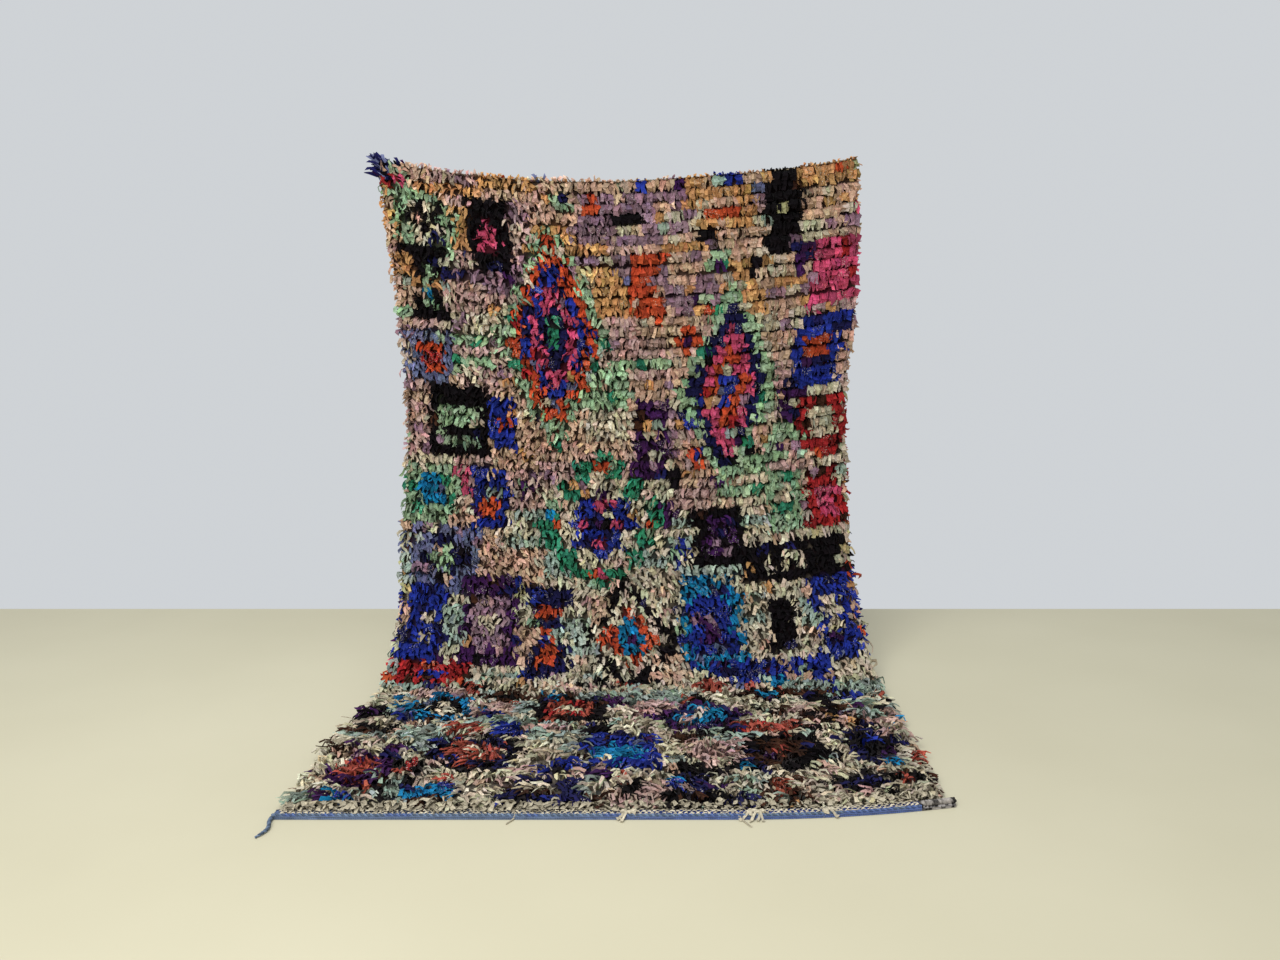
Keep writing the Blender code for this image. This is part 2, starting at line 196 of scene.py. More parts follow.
# Woven figures, each with its rings from the rim inwards, where a patterned form shows the last two together
FIGURE_COLUMNS = ("form", "across", "along", "half_width", "half_length", "rings")
FIGURES = (
    ("rhomb", -0.235, 0.470, 0.190, 0.370, ("mint", "orange", "royal", "pink", "navy", "green")),
    ("rhomb", 0.335, 0.640, 0.170, 0.340, ("mint", "navy", "pink", "orange", "royal")),
    ("steps", -0.080, 1.060, 0.215, 0.225, ("green", "orange", "cream", "royal", "pink", "navy")),
    ("chequer", -0.600, 0.165, 0.090, 0.085, ("mint", "black", "cream")),
    ("hourglass", -0.620, 0.345, 0.085, 0.115, ("black", "mint", "turquoise")),
    ("frame", -0.640, 0.555, 0.070, 0.080, ("slate", "orange", "pink")),
    ("ladder", -0.560, 0.760, 0.100, 0.110, ("black", "mint", "black")),
    ("frame", -0.645, 0.980, 0.075, 0.085, ("mint", "turquoise", "royal")),
    ("bars", -0.450, 0.990, 0.060, 0.100, ("royal", "mauve", "orange")),
    ("cross", -0.590, 1.190, 0.110, 0.115, ("slate", "navy", "mint")),
    ("ladder", -0.640, 1.400, 0.070, 0.120, ("royal", "cream", "royal")),
    ("frame", -0.440, 1.390, 0.085, 0.135, ("purple", "mauve", "cream")),
    ("frame", -0.405, 0.175, 0.060, 0.110, ("black", "pink")),
    ("frame", -0.405, 0.740, 0.042, 0.080, ("royal", "orange")),
    ("bars", 0.020, 0.120, 0.090, 0.070, ("mauve", "black", "cream")),
    ("frame", 0.075, 0.330, 0.045, 0.095, ("orange", "red")),
    ("ladder", 0.085, 0.790, 0.055, 0.125, ("purple", "cream", "purple")),
    ("bars", 0.300, 0.085, 0.100, 0.068, ("ochre", "beige", "orange")),
    ("ladder", 0.500, 0.130, 0.050, 0.120, ("black", "ochre", "black")),
    ("frame", 0.655, 0.330, 0.065, 0.100, ("pink", "pink", "mauve")),
    ("ladder", 0.625, 0.560, 0.080, 0.105, ("royal", "orange", "navy")),
    ("frame", 0.650, 0.790, 0.070, 0.095, ("red", "cream", "orange")),
    ("bars", 0.520, 1.010, 0.055, 0.095, ("mint", "cream", "green")),
    ("frame", 0.660, 1.020, 0.060, 0.100, ("red", "pink", "mauve")),
    ("frame", 0.300, 1.120, 0.080, 0.095, ("black", "purple", "black")),
    ("zigzag", 0.540, 1.200, 0.165, 0.065, ("black", "cream", "black")),
    ("hourglass", -0.255, 1.420, 0.085, 0.150, ("navy", "orange", "turquoise")),
    ("rhomb", 0.000, 1.440, 0.160, 0.200, ("black", "cream", "orange", "turquoise", "purple")),
    ("frame", 0.265, 1.395, 0.095, 0.165, ("turquoise", "royal", "purple")),
    ("frame", 0.480, 1.400, 0.075, 0.140, ("cream", "black")),
    ("bars", 0.650, 1.400, 0.060, 0.140, ("royal", "cream", "cream")),
    ("bars", -0.600, 1.560, 0.110, 0.045, ("red", "slate", "royal")),
    ("chequer", 0.420, 1.560, 0.180, 0.045, ("royal", "orange", "red")),
    ("rhomb", -0.520, 1.800, 0.120, 0.120, ("turquoise", "black", "cream")),
    ("frame", -0.160, 1.790, 0.085, 0.085, ("black", "rust", "cream")),
    ("rhomb", 0.190, 1.850, 0.150, 0.130, ("purple", "navy", "turquoise", "cream")),
    ("hourglass", 0.530, 1.800, 0.090, 0.120, ("brown", "black")),
    ("steps", -0.360, 2.080, 0.130, 0.120, ("black", "navy", "rust", "cream")),
    ("cross", -0.010, 2.080, 0.090, 0.110, ("royal", "turquoise")),
    ("frame", 0.390, 2.090, 0.100, 0.080, ("black", "brown", "rust")),
    ("rhomb", -0.620, 2.190, 0.100, 0.110, ("purple", "rust")),
    ("hourglass", 0.170, 2.260, 0.080, 0.080, ("black", "navy")),
    ("rhomb", 0.620, 2.060, 0.090, 0.120, ("navy", "black", "turquoise")),
    ("bars", -0.170, 2.280, 0.090, 0.060, ("navy", "cream", "brown")),
    ("rhomb", -0.340, 1.690, 0.110, 0.055, ("brown", "black")),
    ("rhomb", 0.380, 1.700, 0.090, 0.060, ("brown", "turquoise")),
    ("hourglass", 0.370, 2.270, 0.065, 0.060, ("brown", "rust")),
    ("rhomb", 0.560, 2.260, 0.110, 0.070, ("black", "navy")),
    ("frame", -0.440, 2.290, 0.070, 0.035, ("turquoise", "royal")),
    ("frame", 0.350, 1.950, 0.060, 0.040, ("rust", "rust")),
)

# Small figures between the large ones, where it hangs and where it lies on the floor
SCATTER_COLUMNS = ("from_along", "to_along", "pitch", "half", "present", "seed", "rims", "cores")
SCATTERS = (
    (
        0.00, 1.62, (0.125, 0.110), (0.030, 0.034), 0.34, 211,
        ("navy", "royal", "purple", "black", "mauve", "black", "royal", "orange", "mint", "pink"),
        ("royal", "purple", "orange", "mint", "pink", "cream", "navy"),
    ),
    (
        1.60, 2.34, (0.115, 0.105), (0.040, 0.036), 0.62, 221,
        ("black", "brown", "purple", "black", "navy", "turquoise", "black", "brown", "royal", "rust"),
        ("rust", "cream", "turquoise", "purple", "sage", "rust", "cream", "black"),
    ),
)
SCATTER_SHIFT = (0.4, 0.3)
SCATTER_SIZE = (0.65, 0.60)
SCATTER_CORE = 0.45
FLOOR_FROM = 1.62

# View
CAMERA_PLACE = (0.045, -3.04, -0.5287)
CAMERA_PITCH = math.radians(7.4)
CAMERA_LENS = 27.03
SENSOR_WIDTH = 36.0

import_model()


# Drape: the same shape as the solids, for arrays of points
def top_edge_height(x):
    left = np.clip((LOWEST_TOP_X - x) / (RUG_WIDTH / 2 + LOWEST_TOP_X), 0, None)
    right = np.clip((x - LOWEST_TOP_X) / (RUG_WIDTH / 2 - LOWEST_TOP_X), 0, None)
    return LOWEST_TOP + LEFT_CORNER_RISE * left**2 + RIGHT_CORNER_RISE * right**2


def near_edge_setback(x):
    share = np.clip(x - NEAR_SETBACK_START_X, 0, None) / (RUG_WIDTH / 2 - NEAR_SETBACK_START_X)
    return NEAR_CORNER_SETBACK * share**2


def edge_at(column, along):
    """Reads the table of edges on a smooth curve through its rows."""
    places = np.array([row[0] for row in EDGES])
    values = np.array([row[EDGE_COLUMNS.index(column)] for row in EDGES])
    steps = np.arange(len(places))
    before = np.maximum(steps - 1, 0)
    after = np.minimum(steps + 1, len(places) - 1)
    slopes = (values[after] - values[before]) / (places[after] - places[before])
    along = np.clip(along, places[0], places[-1])
    upper = np.clip(np.searchsorted(places, along, side="right") - 1, 0, len(places) - 2)
    span = places[upper + 1] - places[upper]
    t = (along - places[upper]) / span
    rise = t * t * (3 - 2 * t)
    leave = t * (1 - t) ** 2 * span * slopes[upper]
    arrive = t * t * (t - 1) * span * slopes[upper + 1]
    return values[upper] * (1 - rise) + values[upper + 1] * rise + leave + arrive


def side_profile(along, hang):
    """The cloth's back seen from the side: y, height, and lean from hanging to lying."""
    past = along - hang
    beyond = past - FLARE_LENGTH
    flare_lean = np.clip(past / FLARE_RADIUS, 0, FLARE_ANGLE)
    bend_lean = np.clip(FLARE_ANGLE + beyond / BEND_RADIUS, FLARE_ANGLE, math.pi / 2)
    lean = np.where(beyond > 0, bend_lean, flare_lean)
    flare_y = -FLARE_RADIUS * (1 - np.cos(flare_lean))
    bend_y = -BEND_RADIUS * (math.cos(FLARE_ANGLE) - np.cos(bend_lean))
    lying = np.clip(beyond - BEND_LENGTH, 0, None)
    y = flare_y + bend_y - lying
    bend_z = BEND_RADIUS * (1 - np.sin(bend_lean))
    height = np.where(beyond > 0, bend_z, DROP - FLARE_RADIUS * np.sin(flare_lean) - np.minimum(past, 0))
    return y, height, lean


def wave(x, height):
    fade = np.clip(height / WAVE_FADE_HEIGHT, 0, 1)
    return WAVE_DEPTH * fade * np.sin(2 * math.pi * x / WAVE_PITCH + WAVE_SLANT * height)


def drape(across, along, height):
    """Takes points of the flat layout to their places on the hanging rug."""
    across, along, height = np.broadcast_arrays(across, along, height)
    left = edge_at("left", along)
    right = edge_at("right", along)
    x = -left + (across / RUG_WIDTH + 0.5) * (left + right)
    hang = top_edge_height(x) - DROP
    floor_run = RUG_LENGTH - (LOWEST_TOP - DROP) - FLARE_LENGTH - BEND_LENGTH - near_edge_setback(x)
    length = hang + FLARE_LENGTH + BEND_LENGTH + floor_run
    y, z, lean = side_profile(along * length / RUG_LENGTH, hang)
    y = y + wave(x, z) - height * np.cos(lean)
    z = z + height * np.sin(lean)
    return np.stack([x, y, z - top_edge_height(0.0)], axis=-1)


def unit(vectors):
    return vectors / np.linalg.norm(vectors, axis=-1, keepdims=True)


def directions(across, along):
    """Which way is out from the cloth, down the rug, and to the right, at points of the flat layout."""
    step = 0.001
    here = drape(across, along, 0.0)
    out = unit(drape(across, along, step) - here)
    down = unit(drape(across, along + step, 0.0) - here)
    right = unit(drape(across + step, along, 0.0) - here)
    return out, down, right


# Uneven handwork
NOISE_CELLS = 256
NOISE_OFFSET = 100.0
DRAW_CELLS = 128


def ramp(value, start, run):
    """From 0 at the start to 1 after the run."""
    return np.clip((value - start) / run, 0, 1)


def soft_noise(across, along, per_metre, seed):
    """Smooth unevenness from -1 to 1 over the flat layout."""
    grid = np.random.RandomState(seed).uniform(-1, 1, (NOISE_CELLS, NOISE_CELLS))
    a = np.asarray(across) * per_metre[0] + NOISE_OFFSET
    b = np.asarray(along) * per_metre[1] + NOISE_OFFSET
    column = np.floor(a).astype(int)
    row = np.floor(b).astype(int)
    s = a - column
    t = b - row
    s = s * s * (3 - 2 * s)
    t = t * t * (3 - 2 * t)

    def value(column_step, row_step):
        return grid[(row + row_step) % NOISE_CELLS, (column + column_step) % NOISE_CELLS]

    near = value(0, 0) * (1 - s) + value(1, 0) * s
    far = value(0, 1) * (1 - s) + value(1, 1) * s
    return near * (1 - t) + far * t


def cell_draw(column, row, seed):
    """One even draw from 0 to 1 for each cell of a grid."""
    table = np.random.RandomState(seed).uniform(0, 1, (DRAW_CELLS, DRAW_CELLS))
    return table[np.asarray(row).astype(int) % DRAW_CELLS, np.asarray(column).astype(int) % DRAW_CELLS]


# Design: each form tells how far a point is from its middle, with 1 at its edge
HOURGLASS_WAIST = 0.18
STEPS_REACH = 4.6
CROSS_ARMS = 2.6
CHEQUER_WIDTH = 0.030
BAR_ROWS = 1.5
LADDER_RUNG = 0.62
ZIGZAG_PITCH = 0.110
ZIGZAG_ROWS = 1.3
ZIGZAG_TEETH = 1.8
RING_WIDTH = 0.033


def rhomb(a, b):
    return np.abs(a) + np.abs(b)


def block(a, b):
    return np.maximum(np.abs(a), np.abs(b))


def hourglass(a, b):
    waist = np.abs(a) / (HOURGLASS_WAIST + (1 - HOURGLASS_WAIST) * np.abs(b))
    return np.maximum(waist, np.abs(b))


def steps(a, b):
    """A rhomb with a stepped edge."""
    stepped = rhomb(np.round(a * 4) / STEPS_REACH, np.round(b * 4) / STEPS_REACH)
    return np.maximum(stepped, block(a, b))


def cross(a, b):
    arms = np.minimum(block(a * CROSS_ARMS, b), block(a, b * CROSS_ARMS))
    return np.minimum(arms, np.where(block(a, b) > 1, 10.0, 1.0))


FORMS = {
    "rhomb": rhomb, "frame": block, "hourglass": hourglass, "steps": steps, "cross": cross,
    "chequer": block, "bars": block, "ladder": block, "zigzag": block,
}


def inner_pattern(form, a, b, half_width, half_length):
    """True where a patterned block shows its second colour."""
    across = a * half_width
    along = b * half_length
    if form == "chequer":
        return (np.floor(across / CHEQUER_WIDTH) + np.floor(along / ROW_PITCH)) % 2 == 0
    if form == "zigzag":
        tooth = np.abs((across / ZIGZAG_PITCH) % 1.0 - 0.5) * 2.0
        return np.floor(along / (ZIGZAG_ROWS * ROW_PITCH) + ZIGZAG_TEETH * tooth) % 2 == 0
    if form in ("bars", "ladder"):
        rung = np.floor(along / (BAR_ROWS * ROW_PITCH)) % 2 == 0
        return rung & (np.abs(a) < LADDER_RUNG) if form == "ladder" else rung
    return None


def number(name):
    return COLOR_NAMES.index(name)


def light_of(name):
    """The rag colour with this name, as light."""
    return PALETTE_LIGHT[number(name)]


def numbers_of(names):
    return np.array([number(name) for name in names])


def pick_from(values, share):
    """The entry at this share, from 0 to 1, of a row of values."""
    return values[(share * len(values)).astype(int)]


def ground_colors(across, along):
    """Patchwork of the ground: uneven blocks, streaked row by row."""
    column = np.floor(across / BLOCK_WIDTH + BLOCK_WANDER[0] * soft_noise(across, along, (2, 5), 11))
    slide = cell_draw(column, np.zeros_like(column), 12)
    row = np.floor(along / BLOCK_LENGTH + slide + BLOCK_WANDER[1] * soft_noise(across, along, (5, 3), 13))
    streak = np.floor(along / ROW_PITCH)
    streaked = cell_draw(column + 31 * row, streak, 15) < STREAK_SHARE
    draw = np.where(streaked, cell_draw(column, streak, 16), cell_draw(column, row, 14))
    colors = np.zeros(across.shape, int)
    for entry in FIELDS:
        field = dict(zip(FIELD_COLUMNS, entry))
        inside = (along >= field["from_along"]) & (along < field["to_along"])
        inside &= (across >= field["from_across"]) & (across < field["to_across"])
        colors[inside] = pick_from(numbers_of(field["colors"]), draw[inside])
    return colors


def draw_figure(colors, figure, across, along):
    a = (across - figure["across"]) / figure["half_width"]
    b = (along - figure["along"]) / figure["half_length"]
    level = FORMS[figure["form"]](a, b)
    step = RING_WIDTH / min(figure["half_width"], figure["half_length"])
    numbers = numbers_of(figure["rings"])
    second = inner_pattern(figure["form"], a, b, figure["half_width"], figure["half_length"])
    whole_rings = len(numbers) if second is None else len(numbers) - 1
    for index in range(whole_rings):
        colors[level <= 1.0 - index * step] = numbers[index]
    if second is not None:
        colors[second & (level <= 1.0 - (whole_rings - 1) * step)] = numbers[-1]


def draw_scatter(colors, scatter, across, along):
    """Small dark and bright figures, one to most cells of an uneven grid."""
    wide, long = scatter["pitch"]
    seed = scatter["seed"]
    row = np.floor(along / long)
    shift = 0.5 * (row % 2)
    column = np.floor(across / wide + shift)
    middle_across = (column + 0.5 - shift + SCATTER_SHIFT[0] * (cell_draw(column, row, seed) - 0.5)) * wide
    middle_along = (row + 0.5 + SCATTER_SHIFT[1] * (cell_draw(column, row, seed + 1) - 0.5)) * long
    size = SCATTER_SIZE[0] + SCATTER_SIZE[1] * cell_draw(column, row, seed + 2)
    a = (across - middle_across) / (scatter["half"][0] * size)
    b = (along - middle_along) / (scatter["half"][1] * size)
    level = np.where(cell_draw(column, row, seed + 3) < 0.5, rhomb(a, b) * 0.8, block(a, b))
    outer = pick_from(numbers_of(scatter["rims"]), cell_draw(column, row, seed + 4))
    inner = pick_from(numbers_of(scatter["cores"]), cell_draw(column, row, seed + 5))
    present = cell_draw(column, row, seed + 6) < scatter["present"]
    present &= (along > scatter["from_along"]) & (along < scatter["to_along"])
    for reach, numbers in ((1.0, outer), (SCATTER_CORE, inner)):
        colors[present & (level < reach)] = numbers[present & (level < reach)]


def design(across, along):
    """Number of the rag colour at each point of the flat layout."""
    a = across + HAND_WANDER * soft_noise(across, along, (7, 9), 31)
    b = along + HAND_WANDER * soft_noise(across, along, (6, 8), 32)
    colors = ground_colors(a, b)
    for entry in SCATTERS:
        draw_scatter(colors, dict(zip(SCATTER_COLUMNS, entry)), a, b)
    for entry in FIGURES:
        draw_figure(colors, dict(zip(FIGURE_COLUMNS, entry)), a, b)
    return colors


def linear(colors):
    """Screen colours as light."""
    colors = np.asarray(colors, float)
    return np.where(colors <= 0.04045, colors / 12.92, ((colors + 0.055) / 1.055) ** 2.4)


PALETTE_LIGHT = linear([PALETTE[name] for name in COLOR_NAMES])
KIN = {
    "cream": ("beige", "blush", "cream", "cream"),
    "beige": ("cream", "ochre", "mauve", "blush"),
    "blush": ("cream", "mauve", "beige"),
    "straw": ("cream", "mint", "straw"),
    "mint": ("green", "cream", "sage", "green"),
    "sage": ("cream", "cream", "sage"),
    "green": ("mint", "green", "turquoise"),
    "black": ("navy", "brown", "black", "black"),
    "navy": ("royal", "black", "purple"),
    "royal": ("navy", "slate", "navy", "purple"),
    "slate": ("mauve", "royal", "sage"),
    "purple": ("navy", "mauve", "black", "brown"),
    "mauve": ("purple", "blush", "slate", "mauve"),
    "pink": ("red", "mauve", "pink", "orange"),
    "orange": ("red", "ochre", "orange", "pink"),
    "red": ("orange", "brown", "pink"),
    "rust": ("red", "rust", "beige"),
    "ochre": ("beige", "orange", "straw", "cream", "beige"),
    "turquoise": ("royal", "navy", "slate", "turquoise"),
    "brown": ("black", "purple", "ochre"),
}
MOST_KIN = max(len(names) for names in KIN.values())
KIN_NUMBERS = np.array([
    [number(KIN[name][index % len(KIN[name])]) for index in range(MOST_KIN)]
    for name in COLOR_NAMES
])
KIN_SHARE = 0.12
MOTTLE_SHARE = 0.035
FLOOR_MOTTLE_SHARE = 0.056
MOTTLE_COLORS = ("cream", "beige", "mauve", "sage", "ochre")
FLOOR_MOTTLE_COLORS = ("cream", "sage", "brown", "cream", "rust", "blush")
TUFT_TONE_SPREAD = 0.16
LOCK_TONE_SPREAD = 0.08
DYE_SPREAD = 0.05
FADED = linear((0.58, 0.55, 0.49))
HANGING_FADE = 0.02
FLOOR_FADE = 0.03
LEAST_LIGHT = 0.002
MOST_LIGHT = 0.95


def rag_colors(across, along, tufts, seed):
    """Colour of each lock or knot: the rag of its tuft, with odd rags between and uneven dye."""
    draws = np.random.RandomState(seed)
    count = int(tufts.max()) + 1
    odd = draws.uniform(0, 1, count)[tufts]
    pick = draws.uniform(0, 1, count)[tufts]
    tone = draws.normal(0, 1, count)[tufts] * TUFT_TONE_SPREAD
    tone = tone + draws.normal(0, LOCK_TONE_SPREAD, len(tufts))
    numbers = design(across, along)
    kin_pick = draws.randint(0, MOST_KIN, count)[tufts]
    is_kin = draws.uniform(0, 1, count)[tufts] < KIN_SHARE
    numbers = np.where(is_kin, KIN_NUMBERS[numbers, kin_pick], numbers)
    on_floor = along > FLOOR_FROM
    share = np.where(on_floor, FLOOR_MOTTLE_SHARE, MOTTLE_SHARE)
    mixed = np.where(
        on_floor,
        pick_from(numbers_of(FLOOR_MOTTLE_COLORS), pick),
        pick_from(numbers_of(MOTTLE_COLORS), pick),
    )
    numbers = np.where(odd < share, mixed, numbers)
    colors = PALETTE_LIGHT[numbers] * np.exp(tone)[:, None]
    colors = colors * np.exp(draws.normal(0, DYE_SPREAD, (len(tufts), 3)))
    fade = np.where(on_floor, FLOOR_FADE, HANGING_FADE)[:, None]
    return np.clip(colors * (1 - fade) + FADED * fade, LEAST_LIGHT, MOST_LIGHT)


# Node trees
def live(sockets, name):
    """The socket in use with this name, or the socket at this place."""
    if isinstance(name, int):
        return sockets[name]
    return next(socket for socket in sockets if socket.name == name and socket.enabled)


def add_node(tree, kind, inputs=None, **settings):
    """A node with these settings, whose inputs are linked to other sockets or hold values."""
    node = tree.nodes.new(kind)
    for name, value in settings.items():
        setattr(node, name, value)
    for name, value in (inputs or {}).items():
        socket = live(node.inputs, name)
        if isinstance(value, bpy.types.NodeSocket):
            tree.links.new(value, socket)
        else:
            socket.default_value = value
    return node


def add_group(kind, name, inputs, outputs):
    """A node group with these sockets, where an input may have a default value."""
    tree = bpy.data.node_groups.new(name, kind)
    for label, socket_type, *default in inputs:
        socket = tree.interface.new_socket(label, in_out="INPUT", socket_type="NodeSocket" + socket_type)
        if default:
            socket.default_value = default[0]
    for label, socket_type in outputs:
        tree.interface.new_socket(label, in_out="OUTPUT", socket_type="NodeSocket" + socket_type)
    return tree, tree.nodes.new("NodeGroupInput").outputs, tree.nodes.new("NodeGroupOutput").inputs


def calculate(tree, operation, *values):
    """A number worked out from numbers or sockets."""
    return add_node(tree, "ShaderNodeMath", dict(enumerate(values)), operation=operation).outputs["Value"]


def combine(tree, operation, first, second):
    """A vector worked out from two vectors."""
    node = add_node(tree, "ShaderNodeVectorMath", {0: first, 1: second}, operation=operation)
    return node.outputs["Vector"]


def scaled(tree, vector, factor):
    node = add_node(tree, "ShaderNodeVectorMath", {0: vector, "Scale": factor}, operation="SCALE")
    return node.outputs["Vector"]


def remap(tree, value, low, high, from_low=0.0, from_high=1.0):
    """Takes a value from one range to another."""
    inputs = {"Value": value, "From Min": from_low, "From Max": from_high, "To Min": low, "To Max": high}
    return add_node(tree, "ShaderNodeMapRange", inputs).outputs["Result"]


def stored(tree, name, data_type="FLOAT_VECTOR"):
    """A value that each point or corner of a mesh holds."""
    node = add_node(tree, "GeometryNodeInputNamedAttribute", {"Name": name}, data_type=data_type)
    return live(node.outputs, "Attribute")


def keep(tree, geometry, name, value, **settings):
    """Stores a value on a geometry."""
    inputs = {"Geometry": geometry, "Name": name, "Value": value}
    return add_node(tree, "GeometryNodeStoreNamedAttribute", inputs, **settings).outputs["Geometry"]


def random_vector(tree, low, high, seed):
    node = add_node(
        tree, "FunctionNodeRandomValue", {"Min": low, "Max": high, "Seed": seed}, data_type="FLOAT_VECTOR"
    )
    return live(node.outputs, "Value")


def realized(tree, instances):
    return add_node(tree, "GeometryNodeRealizeInstances", {"Geometry": instances}).outputs["Geometry"]


def finish_tree(tree, geometry, given, made):
    """Gives the geometry its material and hands it out."""
    finish = add_node(tree, "GeometryNodeSetMaterial", {"Geometry": geometry, "Material": given["Finish"]})
    tree.links.new(finish.outputs["Geometry"], made["Made"])
    return tree


def planting_tree():
    """Plants shapes on points, turned by each point's own directions, and lays each out in its bake cell."""
    tree, given, made = add_group(
        "GeometryNodeTree", "plant_shapes",
        (
            ("Points", "Geometry"), ("Shapes", "Collection"), ("Turn Spread", "Vector"),
            ("Smallest Size", "Vector"), ("Largest Size", "Vector"), ("Bake Cell", "Float"),
            ("Seed", "Int"), ("Finish", "Material"),
        ),
        (("Made", "Geometry"),),
    )
    shapes = add_node(
        tree, "GeometryNodeCollectionInfo",
        {"Collection": given["Shapes"], "Separate Children": True, "Reset Children": True},
    )
    facing = add_node(
        tree, "FunctionNodeAxesToRotation",
        {"Primary Axis": stored(tree, "out"), "Secondary Axis": stored(tree, "down")},
        primary_axis="Z", secondary_axis="Y",
    )
    spread = given["Turn Spread"]
    turn = random_vector(tree, combine(tree, "MULTIPLY", spread, (-1, -1, -1)), spread, given["Seed"])
    loose = scaled(tree, turn, stored(tree, "loose", "FLOAT"))
    turned = add_node(
        tree, "FunctionNodeRotateRotation",
        {
            "Rotation": facing.outputs["Rotation"],
            "Rotate By": add_node(tree, "FunctionNodeEulerToRotation", {"Euler": loose}).outputs["Rotation"],
        },
        rotation_space="LOCAL",
    )
    size_seed = calculate(tree, "ADD", given["Seed"], 1)
    size = random_vector(tree, given["Smallest Size"], given["Largest Size"], size_seed)
    planted = add_node(
        tree, "GeometryNodeInstanceOnPoints",
        {
            "Points": given["Points"],
            "Instance": shapes.outputs["Instances"],
            "Pick Instance": True,
            "Instance Index": stored(tree, "shape", "INT"),
            "Rotation": turned.outputs["Rotation"],
            "Scale": combine(tree, "MULTIPLY", size, stored(tree, "size")),
        },
    )
    solid = realized(tree, planted.outputs["Instances"])
    in_cell = scaled(tree, stored(tree, "strip_uv"), given["Bake Cell"])
    place = combine(tree, "ADD", stored(tree, "bake_corner"), in_cell)
    laid_out = keep(tree, solid, "OFBake", place, data_type="FLOAT2", domain="CORNER")
    return finish_tree(tree, laid_out, given, made)


STRAND_SIDES = 6
STRAND_FULLNESS = 1.12


def twining_tree():
    """Twines the strands of a cord round the path that it follows."""
    tree, given, made = add_group(
        "GeometryNodeTree", "twine_strands",
        (
            ("Path", "Geometry"), ("Strand Radius", "Float"), ("Turn Length", "Float"),
            ("Step", "Float"), ("Strands", "Int"), ("Finish", "Material"),
        ),
        (("Made", "Geometry"),),
    )
    path = add_node(tree, "GeometryNodeMeshToCurve", {"Mesh": given["Path"]}).outputs["Curve"]
    even = add_node(
        tree, "GeometryNodeResampleCurve", {"Curve": path, "Length": given["Step"]}, mode="LENGTH"
    )
    copies = add_node(
        tree, "GeometryNodeDuplicateElements",
        {"Geometry": even.outputs["Curve"], "Amount": given["Strands"]}, domain="SPLINE",
    )
    run = add_node(tree, "GeometryNodeSplineParameter").outputs["Length"]
    turns = calculate(tree, "DIVIDE", run, given["Turn Length"])
    phase = calculate(tree, "DIVIDE", copies.outputs["Duplicate Index"], given["Strands"])
    radius = calculate(tree, "MULTIPLY", given["Strand Radius"], stored(tree, "thickness", "FLOAT"))
    turned = add_node(
        tree, "ShaderNodeVectorRotate",
        {
            "Vector": add_node(tree, "GeometryNodeInputNormal").outputs["Normal"],
            "Axis": add_node(tree, "GeometryNodeInputTangent").outputs["Tangent"],
            "Angle": calculate(tree, "MULTIPLY", calculate(tree, "ADD", turns, phase), 2 * math.pi),
        },
        rotation_type="AXIS_ANGLE",
    )
    twined = add_node(
        tree, "GeometryNodeSetPosition",
        {"Geometry": copies.outputs["Geometry"], "Offset": scaled(tree, turned.outputs["Vector"], radius)},
    ).outputs["Geometry"]
    ring = add_node(
        tree, "GeometryNodeCurvePrimitiveCircle",
        {"Resolution": STRAND_SIDES, "Radius": STRAND_FULLNESS}, mode="RADIUS",
    )
    tube = add_node(
        tree, "GeometryNodeCurveToMesh",
        {
            "Curve": keep(tree, twined, "rag_tip", phase, data_type="FLOAT", domain="CURVE"),
            "Profile Curve": ring.outputs["Curve"],
            "Scale": radius,
            "Fill Caps": True,
        },
    )
    return finish_tree(tree, realized(tree, tube.outputs["Mesh"]), given, made)


FLOOR_CLEARANCE = 0.0002
SCRATCH_ATTRIBUTES = ("out", "down", "size", "shape", "loose", "bake_corner", "strip_uv", "thickness")


def grow(name, source, tree, values):
    """Runs a tree on a source mesh and keeps the result as a plain object."""
    holder = bpy.data.objects.new(name + "_source", source)
    modifier = holder.modifiers.new("Grow", "NODES")
    modifier.node_group = tree
    for item in tree.interface.items_tree:
        if item.in_out == "INPUT" and item.name in values:
            modifier[item.identifier] = values[item.name]
    bpy.context.scene.collection.objects.link(holder)
    graph = bpy.context.evaluated_depsgraph_get()
    grown = holder.evaluated_get(graph)
    mesh = bpy.data.meshes.new_from_object(grown, preserve_all_data_layers=True, depsgraph=graph)
    holder.modifiers.remove(modifier)
    bpy.data.objects.remove(holder)
    for label in SCRATCH_ATTRIBUTES:
        if label in mesh.attributes:
            mesh.attributes.remove(mesh.attributes[label])
    rest_on_floor(mesh)
    return new_piece(name, mesh)


def rest_on_floor(mesh):
    """Points that would lie under the floor lie on it."""
    points = np.empty(len(mesh.vertices) * 3, np.float32)
    mesh.vertices.foreach_get("co", points)
    points[2::3] = np.maximum(points[2::3], FLOOR_Z + FLOOR_CLEARANCE)
    mesh.vertices.foreach_set("co", points)
    mesh.update()


def new_piece(name, mesh):
    mesh.name = name
    piece = bpy.data.objects.new(name, mesh)
    bpy.context.scene.collection.objects.link(piece)
    return piece


def store(mesh, name, kind, values):
    """Keeps one value for each point of a mesh."""
    layer = mesh.attributes.new(name, kind, "POINT")
    field = {"FLOAT_VECTOR": "vector", "FLOAT_COLOR": "color"}.get(kind, "value")
    number_type = np.int32 if kind == "INT" else np.float32
    layer.data.foreach_set(field, np.ascontiguousarray(values, number_type).ravel())


def columns(*values, count):
    """Values side by side, each one number or one for each point."""
    return np.stack([np.broadcast_to(value, count) for value in values], axis=1)


def with_alpha(colors):
    return np.concatenate([colors, np.ones((len(colors), 1))], axis=1)


